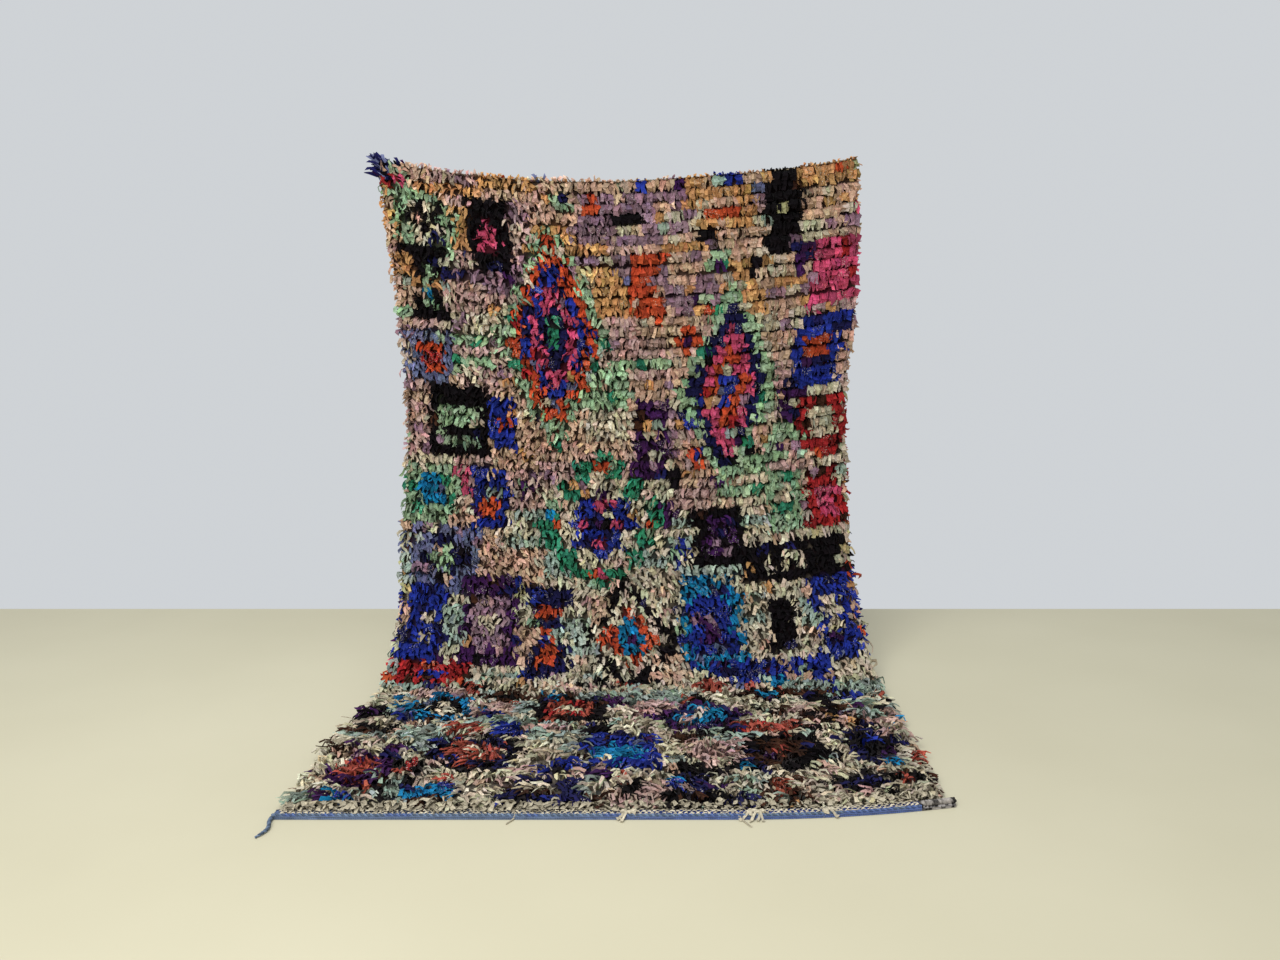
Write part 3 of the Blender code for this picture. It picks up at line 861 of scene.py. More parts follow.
# Shapes that are planted
WIDTH_RANGE = (0.78, 1.20)
THICKNESS_RANGE = (0.7, 1.5)
CREASE_SHIFT = 0.25
POINTED_SHARE = 0.45
POINTED_TIP = 0.4
BLUNT_TIP = 1.5
END_LAYOUTS = (((0.02, 0.0), (0.30, 0.0), (0.15, 0.04)), ((0.02, 0.96), (0.30, 0.96), (0.15, 1.0)))
SIDE_START = 0.05
SIDE_RUN = 0.90
SIDE_SHARE = 0.95


def strip_shape(name, collection, rings, draws, looseness=1.0):
    """A crumpled strip of cloth with three long faces, drawn through its rings and closed at both ends."""
    verts = []
    tips = []
    twist = looseness * draws.uniform(-LOCK_TWIST, LOCK_TWIST)
    side = 0.0
    pointed = draws.random() < POINTED_SHARE
    last = len(rings) - 1
    for index, entry in enumerate(rings):
        ring = dict(zip(RING_COLUMNS, entry))
        share = index / last
        before = rings[max(index - 1, 0)]
        after = rings[min(index + 1, last)]
        tangent = Vector((0.0, after[0] - before[0], after[1] - before[1])).normalized()
        face = Vector((0.0, -tangent.z, tangent.y))
        twist += looseness * draws.uniform(-LOCK_TWIST, LOCK_TWIST)
        side += looseness * draws.uniform(-LOCK_SIDE_WANDER, LOCK_SIDE_WANDER) * (index > 0)
        width = LOCK_WIDTH * ring["width"] * draws.uniform(*WIDTH_RANGE)
        if index == last:
            width *= POINTED_TIP if pointed else BLUNT_TIP
        across = Vector((1.0, 0.0, 0.0)) * math.cos(twist) + face * math.sin(twist)
        fold = tangent.cross(across)
        wander = looseness * share * LOCK_CREASE_WANDER * draws.choice((-1, 1))
        middle = Vector((side, ring["down"], ring["out"])) + face * wander
        tips.extend([share**SHADE_POWER] * 3)
        crease = draws.uniform(-CREASE_SHIFT, CREASE_SHIFT) * width
        thickness = looseness * LOCK_THICKNESS * draws.uniform(*THICKNESS_RANGE)
        verts.append(middle - across * width / 2)
        verts.append(middle + across * width / 2)
        verts.append(middle + across * crease + fold * thickness)
    faces = [(2, 1, 0), (3 * last, 3 * last + 1, 3 * last + 2)]
    corners = list(END_LAYOUTS)
    for index in range(last):
        low = SIDE_START + SIDE_RUN * index / last
        high = SIDE_START + SIDE_RUN * (index + 1) / last
        for edge in range(3):
            here = 3 * index + edge
            there = 3 * index + (edge + 1) % 3
            faces.append((here, there, there + 3, here + 3))
            left = edge / 3
            right = (edge + SIDE_SHARE) / 3
            corners.append(((left, low), (right, low), (right, high), (left, high)))
    return shape_object(name, verts, faces, corners, tips, collection)


def shape_object(name, verts, faces, corners, tips, collection):
    """A shape to plant, with a layout for its bake cell and each point's share of the way to its tip."""
    mesh = bpy.data.meshes.new(name)
    mesh.from_pydata(verts, [], faces)
    store(mesh, "rag_tip", "FLOAT", tips)
    layer = mesh.uv_layers.new(name="strip_uv")
    layout = [corner for face in corners for corner in face]
    layer.uv.foreach_set("vector", np.array(layout, np.float32).ravel())
    turn_outwards(mesh)
    shape = bpy.data.objects.new(name, mesh)
    collection.objects.link(shape)
    return shape


def turn_outwards(mesh):
    """Turns a closed mesh so that its faces point outwards."""
    mesh.calc_loop_triangles()
    points = np.array([vert.co[:] for vert in mesh.vertices])
    triangles = np.array([triangle.vertices[:] for triangle in mesh.loop_triangles])
    if np.linalg.det(points[triangles]).sum() < 0:
        mesh.flip_normals()


NUB_SIDES = 4
NUB_LEVELS = ((1.0, 0.0), (0.80, 0.75))
NUB_TIP = 0.8
NUB_REACH_RANGE = (0.85, 1.15)
NUB_HEIGHT_RANGE = (0.9, 1.1)


def nub_shape(name, collection, half_size, height, draws):
    """A low rounded knot of cloth, as on the back of the rug."""
    verts = []
    for share, rise in NUB_LEVELS:
        for step in range(NUB_SIDES):
            angle = 2 * math.pi * step / NUB_SIDES
            reach = share * draws.uniform(*NUB_REACH_RANGE)
            x = half_size[0] * reach * math.cos(angle)
            y = half_size[1] * reach * math.sin(angle)
            verts.append(Vector((x, y, height * rise * draws.uniform(*NUB_HEIGHT_RANGE))))
    verts.append(Vector((0.0, 0.0, height)))
    top = len(verts) - 1
    faces = [tuple(reversed(range(NUB_SIDES)))]
    corners = [tuple((0.1 + 0.1 * math.cos(a), 0.1 + 0.1 * math.sin(a)) for a in range(NUB_SIDES))]
    for step in range(NUB_SIDES):
        after = (step + 1) % NUB_SIDES
        low = step / NUB_SIDES
        high = (step + 1) / NUB_SIDES
        faces.append((step, after, NUB_SIDES + after, NUB_SIDES + step))
        corners.append(((low, 0.3), (high, 0.3), (high, 0.6), (low, 0.6)))
        faces.append((NUB_SIDES + step, NUB_SIDES + after, top))
        corners.append(((low, 0.62), (high, 0.62), ((low + high) / 2, 0.98)))
    return shape_object(name, verts, faces, corners, [NUB_TIP] * len(verts), collection)


def shape_set(name, count, build, *details):
    """A collection of shapes of one kind."""
    collection = bpy.data.collections.new(name + "_shapes")
    for index in range(count):
        build(f"{name}_{index:02d}", collection, *details)
    return collection


PLANT = planting_tree()
TWINE = twining_tree()
BAKE_CELL_SHARE = 0.92


def plant(
    name, shapes, places, out, down, size, colors, finish, spread, smallest, largest, seed,
    flecks=0.0, loose=1.0,
):
    """Plants shapes at these places and returns the piece."""
    count = len(places)
    mesh = bpy.data.meshes.new(name + "_points")
    mesh.vertices.add(count)
    mesh.vertices.foreach_set("co", np.ascontiguousarray(places, np.float32).ravel())
    draws = np.random.RandomState(seed)
    cells = math.ceil(math.sqrt(count))
    index = np.arange(count)
    corner = columns(index % cells, index // cells, 0.0, count=count) / cells
    store(mesh, "out", "FLOAT_VECTOR", out)
    store(mesh, "down", "FLOAT_VECTOR", down)
    store(mesh, "size", "FLOAT_VECTOR", columns(*size, count=count))
    store(mesh, "shape", "INT", draws.randint(0, len(shapes.objects), count))
    store(mesh, "bake_corner", "FLOAT_VECTOR", corner)
    store(mesh, "rag_color", "FLOAT_COLOR", with_alpha(np.broadcast_to(colors, (count, 3))))
    store(mesh, "rag_flecks", "FLOAT", np.full(count, flecks))
    store(mesh, "loose", "FLOAT", np.full(count, loose))
    values = {
        "Shapes": shapes,
        "Turn Spread": spread,
        "Smallest Size": smallest,
        "Largest Size": largest,
        "Bake Cell": BAKE_CELL_SHARE / cells,
        "Seed": seed,
        "Finish": finish,
    }
    return grow(name, mesh, PLANT, values)


# Shared shader effects
GREY = (0.5, 0.5, 0.5, 1.0)


def attribute(tree, name, output="Fac"):
    return add_node(tree, "ShaderNodeAttribute", attribute_name=name).outputs[output]


def on_object(tree):
    return add_node(tree, "ShaderNodeTexCoord").outputs["Object"]


def crumple_group():
    """Crumples and threads of cut cloth: a colour darkened in the crumples' hollows as painted shade and
    lightened on their ridges as painted highlight, a height and a roughness.
    """
    group, given, made = add_group(
        "ShaderNodeTree", "crumpled_cloth",
        (
            ("Color", "Color", GREY), ("Crumple Scale", "Float", 160.0), ("Thread Scale", "Float", 900.0),
            ("Shade", "Float", 0.5),
        ),
        (("Color", "Color"), ("Height", "Float"), ("Roughness", "Float")),
    )
    crumple = add_node(
        group, "ShaderNodeTexNoise",
        {
            "Vector": on_object(group), "Scale": given["Crumple Scale"],
            "Detail": 4.0, "Roughness": 0.6, "Distortion": 0.6,
        },
    ).outputs["Fac"]
    threads = add_node(
        group, "ShaderNodeTexNoise",
        {"Vector": on_object(group), "Scale": given["Thread Scale"], "Detail": 2.0},
    ).outputs["Fac"]
    # Painted shade and highlight: the colour follows the crumple noise, darker where the bump height is low
    # and lighter where it is high.
    darkest = calculate(group, "SUBTRACT", 1.0, given["Shade"])
    shade = remap(group, crumple, darkest, 1.16, 0.32, 0.68)
    grain = remap(group, threads, 0.80, 1.20)
    tint = scaled(group, given["Color"], calculate(group, "MULTIPLY", shade, grain))
    group.links.new(tint, made["Color"])
    group.links.new(calculate(group, "MULTIPLY_ADD", threads, 0.25, crumple), made["Height"])
    group.links.new(remap(group, threads, 0.78, 0.98), made["Roughness"])
    return group


def weave_group():
    """Ribs of a plain weave, from how far each point lies along and across the rug, with the colour darkened
    in the hollows between ribs as painted shade.
    """
    group, given, made = add_group(
        "ShaderNodeTree", "woven_ribs",
        (("Color", "Color", GREY), ("Rib Scale", "Float", 300.0), ("Shade", "Float", 0.4)),
        (("Color", "Color"), ("Height", "Float")),
    )

    def ribs(run, factor, phase):
        scaled_run = calculate(group, "MULTIPLY", attribute(group, run), given["Rib Scale"])
        return calculate(group, "SINE", calculate(group, "MULTIPLY_ADD", scaled_run, factor, phase))

    shoots = ribs("run_along", 2 * math.pi, 0.0)
    warps = ribs("run_across", math.pi, 0.5)
    crossed = calculate(group, "MULTIPLY", shoots, warps)
    height = remap(group, crossed, 0.0, 1.0, from_low=-1.0)
    # Painted shade: the lower the rib height, the darker the colour.
    shade = remap(group, height, calculate(group, "SUBTRACT", 1.0, given["Shade"]), 1.0)
    group.links.new(scaled(group, given["Color"], shade), made["Color"])
    group.links.new(height, made["Height"])
    return group


CRUMPLE = crumple_group()
WEAVE = weave_group()
BUMP_STRENGTH = 0.8
RAG_BUMP = 0.0020
RAG_SHEEN = 0.02
WEAVE_SHEEN = 0.10
FLECK_SCALE = 210.0
FLECK_RANGE = (0.34, 0.22)
FLECK_COLOR = (0.60, 0.56, 0.48, 1.0)
TIP_GAMMA = 1.06


def new_material(name, **values):
    """A material with these values on its shader."""
    material = bpy.data.materials.new(name)
    material.use_nodes = True
    shader = material.node_tree.nodes["Principled BSDF"]
    for label, value in values.items():
        shader.inputs[label.replace("_", " ")].default_value = value
    return material, material.node_tree, shader


def cloth_material(name, sheen):
    return new_material(
        name, Roughness=0.92, Sheen_Weight=sheen, Sheen_Roughness=0.5, Specular_IOR_Level=0.06
    )


def finish_cloth(tree, shader, color, roughness, height, bump_distance):
    bump = add_node(
        tree, "ShaderNodeBump", {"Height": height, "Strength": BUMP_STRENGTH, "Distance": bump_distance}
    )
    tree.links.new(color, shader.inputs["Base Color"])
    tree.links.new(roughness, shader.inputs["Roughness"])
    tree.links.new(bump.outputs["Normal"], shader.inputs["Normal"])


def rag_material(name, crumple_scale, shade, root_tone, tip_tone, root_shade_gamma=1.0):
    """Torn rags, each in its own colour, with pale flecks on prints, crumples, and painted shade that darkens
    and deepens the colour towards the roots.
    """
    material, tree, shader = cloth_material(name, RAG_SHEEN)
    spots = add_node(tree, "ShaderNodeTexVoronoi", {"Vector": on_object(tree), "Scale": FLECK_SCALE})
    spot = remap(tree, spots.outputs["Distance"], 0.0, 1.0, *FLECK_RANGE)
    printed = add_node(
        tree, "ShaderNodeMix",
        {
            "Factor": calculate(tree, "MULTIPLY", spot, attribute(tree, "rag_flecks")),
            "A": attribute(tree, "rag_color", "Color"),
            "B": FLECK_COLOR,
        },
        data_type="RGBA",
    )
    # Painted shade and light: by the rag_tip share the colour is darker and deeper towards the root and
    # lighter towards the tip; on twined cords the share is the strand's place, so their strands differ in
    # tone.
    tip = attribute(tree, "rag_tip")
    root_darkened = add_node(
        tree, "ShaderNodeGamma",
        {"Color": live(printed.outputs, "Result"), "Gamma": remap(tree, tip, root_shade_gamma, TIP_GAMMA)},
    )
    root_shade_tip_light = scaled(tree, root_darkened.outputs["Color"], remap(tree, tip, root_tone, tip_tone))
    cloth = add_node(
        tree, "ShaderNodeGroup",
        {"Color": root_shade_tip_light, "Crumple Scale": crumple_scale, "Shade": shade}, node_tree=CRUMPLE,
    ).outputs
    finish_cloth(tree, shader, cloth["Color"], cloth["Roughness"], cloth["Height"], RAG_BUMP)
    return material


def woven_material(name, rib_scale, shade, bump_distance):
    """Flat weave: the point's own colour, darkened in the crumple noise's hollows and between the ribs as
    painted shade, with the roughness of spun wool.
    """
    material, tree, shader = cloth_material(name, WEAVE_SHEEN)
    cloth = add_node(
        tree, "ShaderNodeGroup",
        {"Color": attribute(tree, "rag_color", "Color"), "Crumple Scale": 45.0, "Shade": 0.25},
        node_tree=CRUMPLE,
    ).outputs
    woven = add_node(
        tree, "ShaderNodeGroup",
        {"Color": cloth["Color"], "Rib Scale": rib_scale, "Shade": shade}, node_tree=WEAVE,
    ).outputs
    finish_cloth(tree, shader, woven["Color"], cloth["Roughness"], woven["Height"], bump_distance)
    return material


RAG_PILE = rag_material("rag_pile", 330.0, 0.50, 0.32, 1.06, root_shade_gamma=1.6)
RAG_KNOTS = rag_material("rag_knots", 260.0, 0.35, 1.0, 1.0)
GROUND_WEAVE = woven_material("ground_weave", 330.0, 0.45, 0.0012)
BLUE_BAND = woven_material("blue_band", 420.0, 0.40, 0.0010)
MOTTLED_BAND = rag_material("mottled_band", 300.0, 0.40, 0.9, 1.2)
CREAM_TIE = rag_material("cream_tie", 150.0, 0.35, 0.9, 1.05)
CORD_WOOL = rag_material("cord_wool", 420.0, 0.40, 0.60, 1.55)

# Shapes of the locks and of the backs of the knots
KNOT_HALF_SIZE = (0.0050, 0.0042)
KNOT_RISE = 0.0021
KNOT_SHAPES = 6
shape_draws = random.Random(5)
lock_shapes = shape_set("lock", LOCK_SHAPES, strip_shape, LOCK_RINGS, shape_draws)
knot_shapes = shape_set("knot", KNOT_SHAPES, nub_shape, KNOT_HALF_SIZE, KNOT_RISE, shape_draws)

# Knots row by row, a few of one rag to each tuft
TUFTS_PER_ROW = 60
TUFT_SLIDE = 0.25
FIRST_ROOT = 0.004
PRINT_SHARE = 0.16
PRINT_STRENGTH = 0.8
DARK_RAG = 0.08


def knot_grid():
    """Row, place and tuft of every knot, and the middle of its tuft."""
    per_row = LOCKS_PER_ROW // 2
    rows = np.repeat(np.arange(ROW_COUNT), per_row)
    places = np.tile(np.arange(per_row), ROW_COUNT)
    across = (places + 0.5) / per_row * 2 * LOCK_HALF_RUN - LOCK_HALF_RUN
    along = (rows + ROOT_SHARE) * ROW_PITCH
    along = along + SLIDE_PER_ROW * soft_noise(across, along, (4, 31), 41)
    slide = cell_draw(rows, np.zeros_like(rows), 42) + TUFT_SLIDE * soft_noise(across, along, (12, 31), 48)
    tuft = np.floor((across + LOCK_HALF_RUN) / TUFT_WIDTH + slide).astype(int)
    middle = (tuft + 0.5 - slide) * TUFT_WIDTH - LOCK_HALF_RUN
    return rows, across, np.clip(along, FIRST_ROOT, None), rows * TUFTS_PER_ROW + tuft, middle


knot_rows, knot_across, knot_along, knot_tufts, tuft_middles = knot_grid()
knot_colors = rag_colors(tuft_middles, (knot_rows + 0.5) * ROW_PITCH, knot_tufts, 51)
tuft_draws = np.random.RandomState(52).uniform(0, 1, int(knot_tufts.max()) + 1)
is_print = (tuft_draws[knot_tufts] < PRINT_SHARE) & (knot_colors.max(axis=1) > DARK_RAG)
knot_flecks = PRINT_STRENGTH * is_print


def leaned(down, right, angle):
    """Directions turned within the cloth by this angle, to the right."""
    return down * np.cos(angle)[:, None] + right * np.sin(angle)[:, None]


def even_rows(across, along):
    """1 where the rows lie tight and even, towards the upper right, and 0 where the pile is loose."""
    return ramp(0.95 - along + 0.55 * across, 0.0, 0.7) * ramp(across, -0.25, 0.3)


END_SPACING = 0.0030
ACROSS_JITTER = 0.0018
ALONG_JITTER = 0.003
EDGE_GAP = 0.003
ROOT_SINK = 0.001
LYING_FROM = 1.60
PILE_LYING_RUN = 0.12
DRIFT_LEAN = 0.46
TUFT_LEAN = 0.35
STRAIGHTENED = 0.85
SIDEWAYS_LEAN = 1.20
END_TONE_SPREAD = 0.10
EVEN_ROW_PAINTED_SHADE = 0.15
EVEN_ROW_CALM = 0.70
PILE_TURN = (0.30, 0.62, 0.50)
PILE_SMALLEST = (0.75, 0.78, 0.80)
PILE_LARGEST = (1.50, 1.22, 1.16)


def plant_pile(name, first_row, last_row, seed):
    """Two cut ends of rag for every knot of these rows."""
    chosen = np.flatnonzero((knot_rows >= first_row) & (knot_rows < last_row))
    knots = np.repeat(chosen, 2)
    count = len(knots)
    draws = np.random.RandomState(seed)
    side = np.tile([-1.0, 1.0], len(chosen))
    across = knot_across[knots] + side * END_SPACING + draws.uniform(-ACROSS_JITTER, ACROSS_JITTER, count)
    along = knot_along[knots] + draws.uniform(-ALONG_JITTER, ALONG_JITTER, count)
    along = along + np.where(side > 0, SECOND_ROOT_STEP * (1 - even_rows(across, along)), 0.0)
    along = np.clip(along, EDGE_GAP, BODY_LENGTH - EDGE_GAP)
    out, down, right = directions(across, along)
    lying = ramp(along, LYING_FROM, PILE_LYING_RUN)
    order = even_rows(across, along)
    middle = tuft_middles[knots]
    from_middle = np.clip((across - middle) / (TUFT_WIDTH / 2), -1, 1)
    tufted = (1 - 0.95 * order) * (1 - 0.55 * lying)
    fringe = tufted * from_middle**2
    free = 1 - STRAIGHTENED * order
    lean = DRIFT_LEAN * free * soft_noise(across, along, (9, 14), 43)
    lean = lean + TUFT_LEAN * free * soft_noise(middle, along, TUFT_SCALE, 46)
    lean = lean - TUFT_GATHER * tufted * from_middle
    sideways = soft_noise(across, along, (16, 22), 44)
    lean = lean + lying * SIDEWAYS_LEAN * np.sign(sideways) * np.abs(sideways) ** 0.5
    lumps = soft_noise(across, along, (6, 8), 3) + 0.8 * soft_noise(across, along, (17, 31), 4)
    longer = 0.12 * soft_noise(middle, along, TUFT_SCALE, 45)
    size = (
        1.0 + 0.40 * order - 0.32 * lying,
        1.05 + 0.07 * order + longer - 0.14 * fringe + 0.18 * lying,
        1.06 + 0.24 * lumps - 0.28 * fringe - 0.30 * lying,
    )
    # Painted shade: the locks of the tight even rows are darkened, to damp the highlights that the lamps give
    # them.
    tone = np.exp(draws.normal(0, END_TONE_SPREAD, count)) * (1 - EVEN_ROW_PAINTED_SHADE * order)
    return plant(
        name, lock_shapes, drape(across, along, GROUND_FRONT - ROOT_SINK), out, leaned(down, right, lean),
        size, knot_colors[knots] * tone[:, None], RAG_PILE, PILE_TURN, PILE_SMALLEST, PILE_LARGEST, seed,
        knot_flecks[knots], 1 - EVEN_ROW_CALM * order,
    )


PILE_SEED = 60
rows_per_piece = math.ceil(ROW_COUNT / PILE_PIECES)
pile_pieces = []
for index in range(PILE_PIECES):
    first = index * rows_per_piece
    last = min(first + rows_per_piece, ROW_COUNT)
    pile_pieces.append(plant_pile(f"pile_rows_{index + 1}", first, last, PILE_SEED + index))


# Backs of the knots, which show as rows of small loops behind the rug
def plant_knots():
    out, down, right = directions(knot_across, knot_along)
    places = drape(knot_across, knot_along + 0.001, GROUND_BACK + 0.0003)
    return plant(
        "knot_backs", knot_shapes, places, -out, down, (1, 1, 1), knot_colors * 0.9, RAG_KNOTS,
        (0.04, 0.04, 0.25), (0.85, 0.85, 0.75), (1.08, 1.15, 0.95), 71, knot_flecks,
    )


knot_backs = plant_knots()


# Flat-woven slabs
def woven_slab(name, across_range, along_range, cells, front_height, back_height, color_of, finish):
    """A closed slab on a grid of the flat layout, draped, with a colour at each point."""
    across, along = np.meshgrid(
        np.linspace(*across_range, cells[0] + 1),
        np.linspace(*along_range, cells[1] + 1),
    )
    count = across.size
    front = drape(across, along, front_height(across, along)).reshape(-1, 3)
    back = drape(across, along, back_height(across, along)).reshape(-1, 3)
    index = np.arange(count).reshape(across.shape)
    corners = (index[:-1, :-1], index[:-1, 1:], index[1:, 1:], index[1:, :-1])
    quads = np.stack(corners, axis=-1).reshape(-1, 4)
    rim = np.concatenate([index[0, :], index[1:, -1], index[-1, -2::-1], index[-2:0:-1, 0]])
    after = np.roll(rim, -1)
    walls = np.stack([rim, rim + count, after + count, after], axis=-1)
    faces = np.concatenate([quads[:, ::-1], quads + count, walls])
    mesh = bpy.data.meshes.new(name)
    mesh.from_pydata(np.concatenate([front, back]), [], faces.tolist())
    turn_outwards(mesh)
    flat_across = np.tile(across.ravel(), 2)
    flat_along = np.tile(along.ravel(), 2)
    on_back = np.repeat([False, True], count)
    store(mesh, "rag_color", "FLOAT_COLOR", with_alpha(color_of(flat_across, flat_along, on_back)))
    store(mesh, "run_across", "FLOAT", flat_across)
    store(mesh, "run_along", "FLOAT", flat_along)
    lay_out_slab(mesh, flat_across, flat_along, on_back, across_range, along_range, len(quads))
    mesh.materials.append(finish)
    mesh.shade_smooth()
    return new_piece(name, mesh)


def lay_out_slab(mesh, across, along, on_back, across_range, along_range, quad_count):
    """Front and back side by side on the bake map, and the rim in a strip below them."""
    u = (across - across_range[0]) / (across_range[1] - across_range[0])
    v = (along - along_range[0]) / (along_range[1] - along_range[0])
    point_uv = np.stack([0.01 + 0.47 * u + 0.5 * on_back, 0.06 + 0.93 * v], axis=1)
    loops = np.zeros(len(mesh.loops), np.int32)
    mesh.loops.foreach_get("vertex_index", loops)
    uv = point_uv[loops]
    first_wall = 8 * quad_count
    walls = (len(loops) - first_wall) // 4
    step = np.arange(walls) / walls
    wall_u = np.stack([step, step, step + 1 / walls, step + 1 / walls], axis=1)
    wall_v = np.broadcast_to((0.01, 0.04, 0.04, 0.01), (walls, 4))
    uv[first_wall:] = np.stack([wall_u, wall_v], axis=-1).reshape(-1, 2)
    layer = mesh.uv_layers.new(name="OFBake")
    layer.uv.foreach_set("vector", uv.astype(np.float32).ravel())


WOOL = linear([0.62, 0.57, 0.48])
DARK_WOOL = linear([0.34, 0.30, 0.27])
GAP_SHADE = linear([0.14, 0.09, 0.10])
DARK_SHOOT_SHARE = 0.16
GROUND_START = 0.0010


def ground_color(across, along, on_back):
    """Undyed wool in uneven shoots behind, and shaded roots in front."""
    shoot = np.floor(along / (ROW_PITCH / 2))
    tone = 0.80 + 0.35 * cell_draw(np.zeros_like(shoot), shoot, 81)
    dark = (cell_draw(np.ones_like(shoot), shoot, 82) < DARK_SHOOT_SHARE)[:, None]
    back = np.where(dark, 0.5 * (WOOL + DARK_WOOL), WOOL) * tone[:, None]
    front = 0.20 * PALETTE_LIGHT[design(across, along)] ** 1.4 + GAP_SHADE
    return np.where(on_back[:, None], back, front)


def ground_front(across, along):
    return GROUND_FRONT + 0.0004 * soft_noise(across, along, (40, 60), 83)


def ground_back(across, along):
    between = np.sin(math.pi * (along / ROW_PITCH - ROOT_SHARE)) ** 2
    return GROUND_BACK - 0.0009 * between + 0.0003 * soft_noise(across, along, (30, 60), 84)


ground = woven_slab(
    "knotted_ground",
    (-GROUND_HALF_WIDTH, GROUND_HALF_WIDTH),
    (GROUND_START, BODY_LENGTH),
    (GROUND_COLUMNS, GROUND_STEPS_PER_ROW * ROW_COUNT),
    ground_front,
    ground_back,
    ground_color,
    GROUND_WEAVE,
)


# Locks at the rim
def plant_rim(name, across, along, turned, size, colors, seed, height, spread):
    """Locks whose directions are given by an angle from straight down the rug, to the right."""
    out, down, right = directions(across, along)
    places = drape(across, along, height)
    return plant(
        name, lock_shapes, places, out, leaned(down, right, turned), size, colors, RAG_PILE, spread,
        (0.85, 0.80, 0.70), (1.12, 1.20, 1.15), seed,
    )


RIM_LOCKS_PER_ROW = 4
RIM_ROOT = 0.724
RIM_LYING_RUN = 0.10
SIDE_TUFT = (0.475, 0.016)
DARK_ENDS_FROM = 2.05
TOP_RIM_LOCKS = 240
RAG_ENDS_ACROSS = -0.240
CORNER_FROM = -0.650
CORNER_TUFT_LOCKS = 44
CORNER_TUFT_COLORS = ("navy", "black", "navy", "purple", "navy", "slate")
NEAR_RIM_LOCKS = 520
NEAR_RIM_HEIGHT = 0.0062


def side_rim(name, side, seed):
    """Spiky side edge: short where it hangs, looser on the floor, with one longer tuft on the right."""
    draws = np.random.RandomState(seed)
    count = ROW_COUNT * RIM_LOCKS_PER_ROW
    along = (np.arange(count) + draws.uniform(0.1, 0.9, count)) / count * (BODY_LENGTH - 0.012) + 0.004
    across = side * (RIM_ROOT + draws.uniform(-0.005, 0.003, count))
    turned = side * np.abs(draws.normal(0.80, 0.34, count))
    lying = ramp(along, LYING_FROM, RIM_LYING_RUN)
    length = draws.uniform(0.40, 0.72, count) + 0.18 * lying
    colors = rag_colors(np.full(count, side * 0.70), along, np.arange(count), seed + 1)
    if side > 0:
        middle, reach = SIDE_TUFT
        tuft = np.abs(along - middle) < reach
        length[tuft] = 1.05
        colors[tuft] = light_of("mauve")
        dark_ends = (along > DARK_ENDS_FROM) & (draws.uniform(0, 1, count) < 0.55)
        colors[dark_ends] = light_of("brown")
    size = (1.0, length, 0.62 - 0.22 * lying)
    height = GROUND_FRONT - ROOT_SINK
    return plant_rim(name, across, along, turned, size, colors, seed + 2, height, (0.12, 0.3, 0.2))


def top_rim():
    """Upper edge: locks stand over it on the left, lie close on the right, and fly out at the left corner."""
    draws = np.random.RandomState(95)
    count = TOP_RIM_LOCKS
    extra = CORNER_TUFT_LOCKS
    across = np.linspace(-SLAB_HALF_WIDTH, SLAB_HALF_WIDTH, count) + draws.uniform(-0.003, 0.003, count)
    along = draws.uniform(0.002, 0.008, count)
    turned = math.pi + draws.normal(0, 0.45, count)
    left = across < -0.06
    length = np.where(left, draws.uniform(0.42, 0.70, count), draws.uniform(0.20, 0.36, count))
    thickness = np.where(left, 0.75, 0.85)
    colors = rag_colors(across, np.full(count, 0.02), np.arange(count), 96)
    ends = np.abs(across - RAG_ENDS_ACROSS) < 0.009
    length[ends] = 0.95
    colors[ends] = light_of("slate")
    corner = across < CORNER_FROM
    length[corner] = draws.uniform(0.75, 1.15, corner.sum())
    turned[corner] = math.pi + draws.uniform(0.1, 1.25, corner.sum())
    across = np.append(across, draws.uniform(-0.724, -0.694, extra))
    along = np.append(along, draws.uniform(0.002, 0.052, extra))
    turned = np.append(turned, math.pi + draws.uniform(0.35, 1.75, extra))
    size = (
        np.append(np.ones(count), np.full(extra, 1.15)),
        np.append(length, draws.uniform(1.05, 2.05, extra)),
        np.append(thickness, np.full(extra, 0.95)),
    )
    dark = np.append(corner, np.ones(extra, bool))
    colors = np.concatenate([colors, np.zeros((extra, 3))])
    colors[dark] = PALETTE_LIGHT[draws.choice(numbers_of(CORNER_TUFT_COLORS), dark.sum())]
    height = GROUND_FRONT - ROOT_SINK
    return plant_rim("top_rim_locks", across, along, turned, size, colors, 97, height, (0.14, 0.3, 0.2))


def near_rim():
    """Locks of the last row and of the seam, which curl over the flat-woven band, most on the left."""
    draws = np.random.RandomState(101)
    count = NEAR_RIM_LOCKS
    across = np.linspace(-SLAB_HALF_WIDTH, SLAB_HALF_WIDTH, count) + draws.uniform(-0.004, 0.004, count)
    on_seam = np.arange(count) % 2 == 1
    root = np.where(on_seam, BAND_START - 0.002, BODY_LENGTH - 0.003)
    along = root + draws.uniform(-0.003, 0.002, count)
    turned = draws.normal(0, 0.80, count)
    cover = ramp(0.16 - across, 0.0, 0.35)
    length = draws.uniform(0.24, 0.46, count) + 0.40 * (1 - on_seam)
    length = length + cover * (0.10 + 0.80 * draws.uniform(0, 1, count) ** 2)
    size = (1.10, length, np.where(on_seam, 0.28, 0.56))
    colors = rag_colors(across, np.full(count, 2.33), np.arange(count), 102)
    cream = draws.uniform(0, 1, count) < 0.78 + 0.16 * cover
    colors[cream] = light_of("cream") * draws.uniform(0.55, 1.0, cream.sum())[:, None]
    height = NEAR_RIM_HEIGHT
    return plant_rim("near_rim_locks", across, along, turned, size, colors, 103, height, (0.10, 0.3, 0.2))


left_rim = side_rim("left_rim_locks", -1.0, 91)
right_rim = side_rim("right_rim_locks", 1.0, 93)
top_locks = top_rim()
near_locks = near_rim()

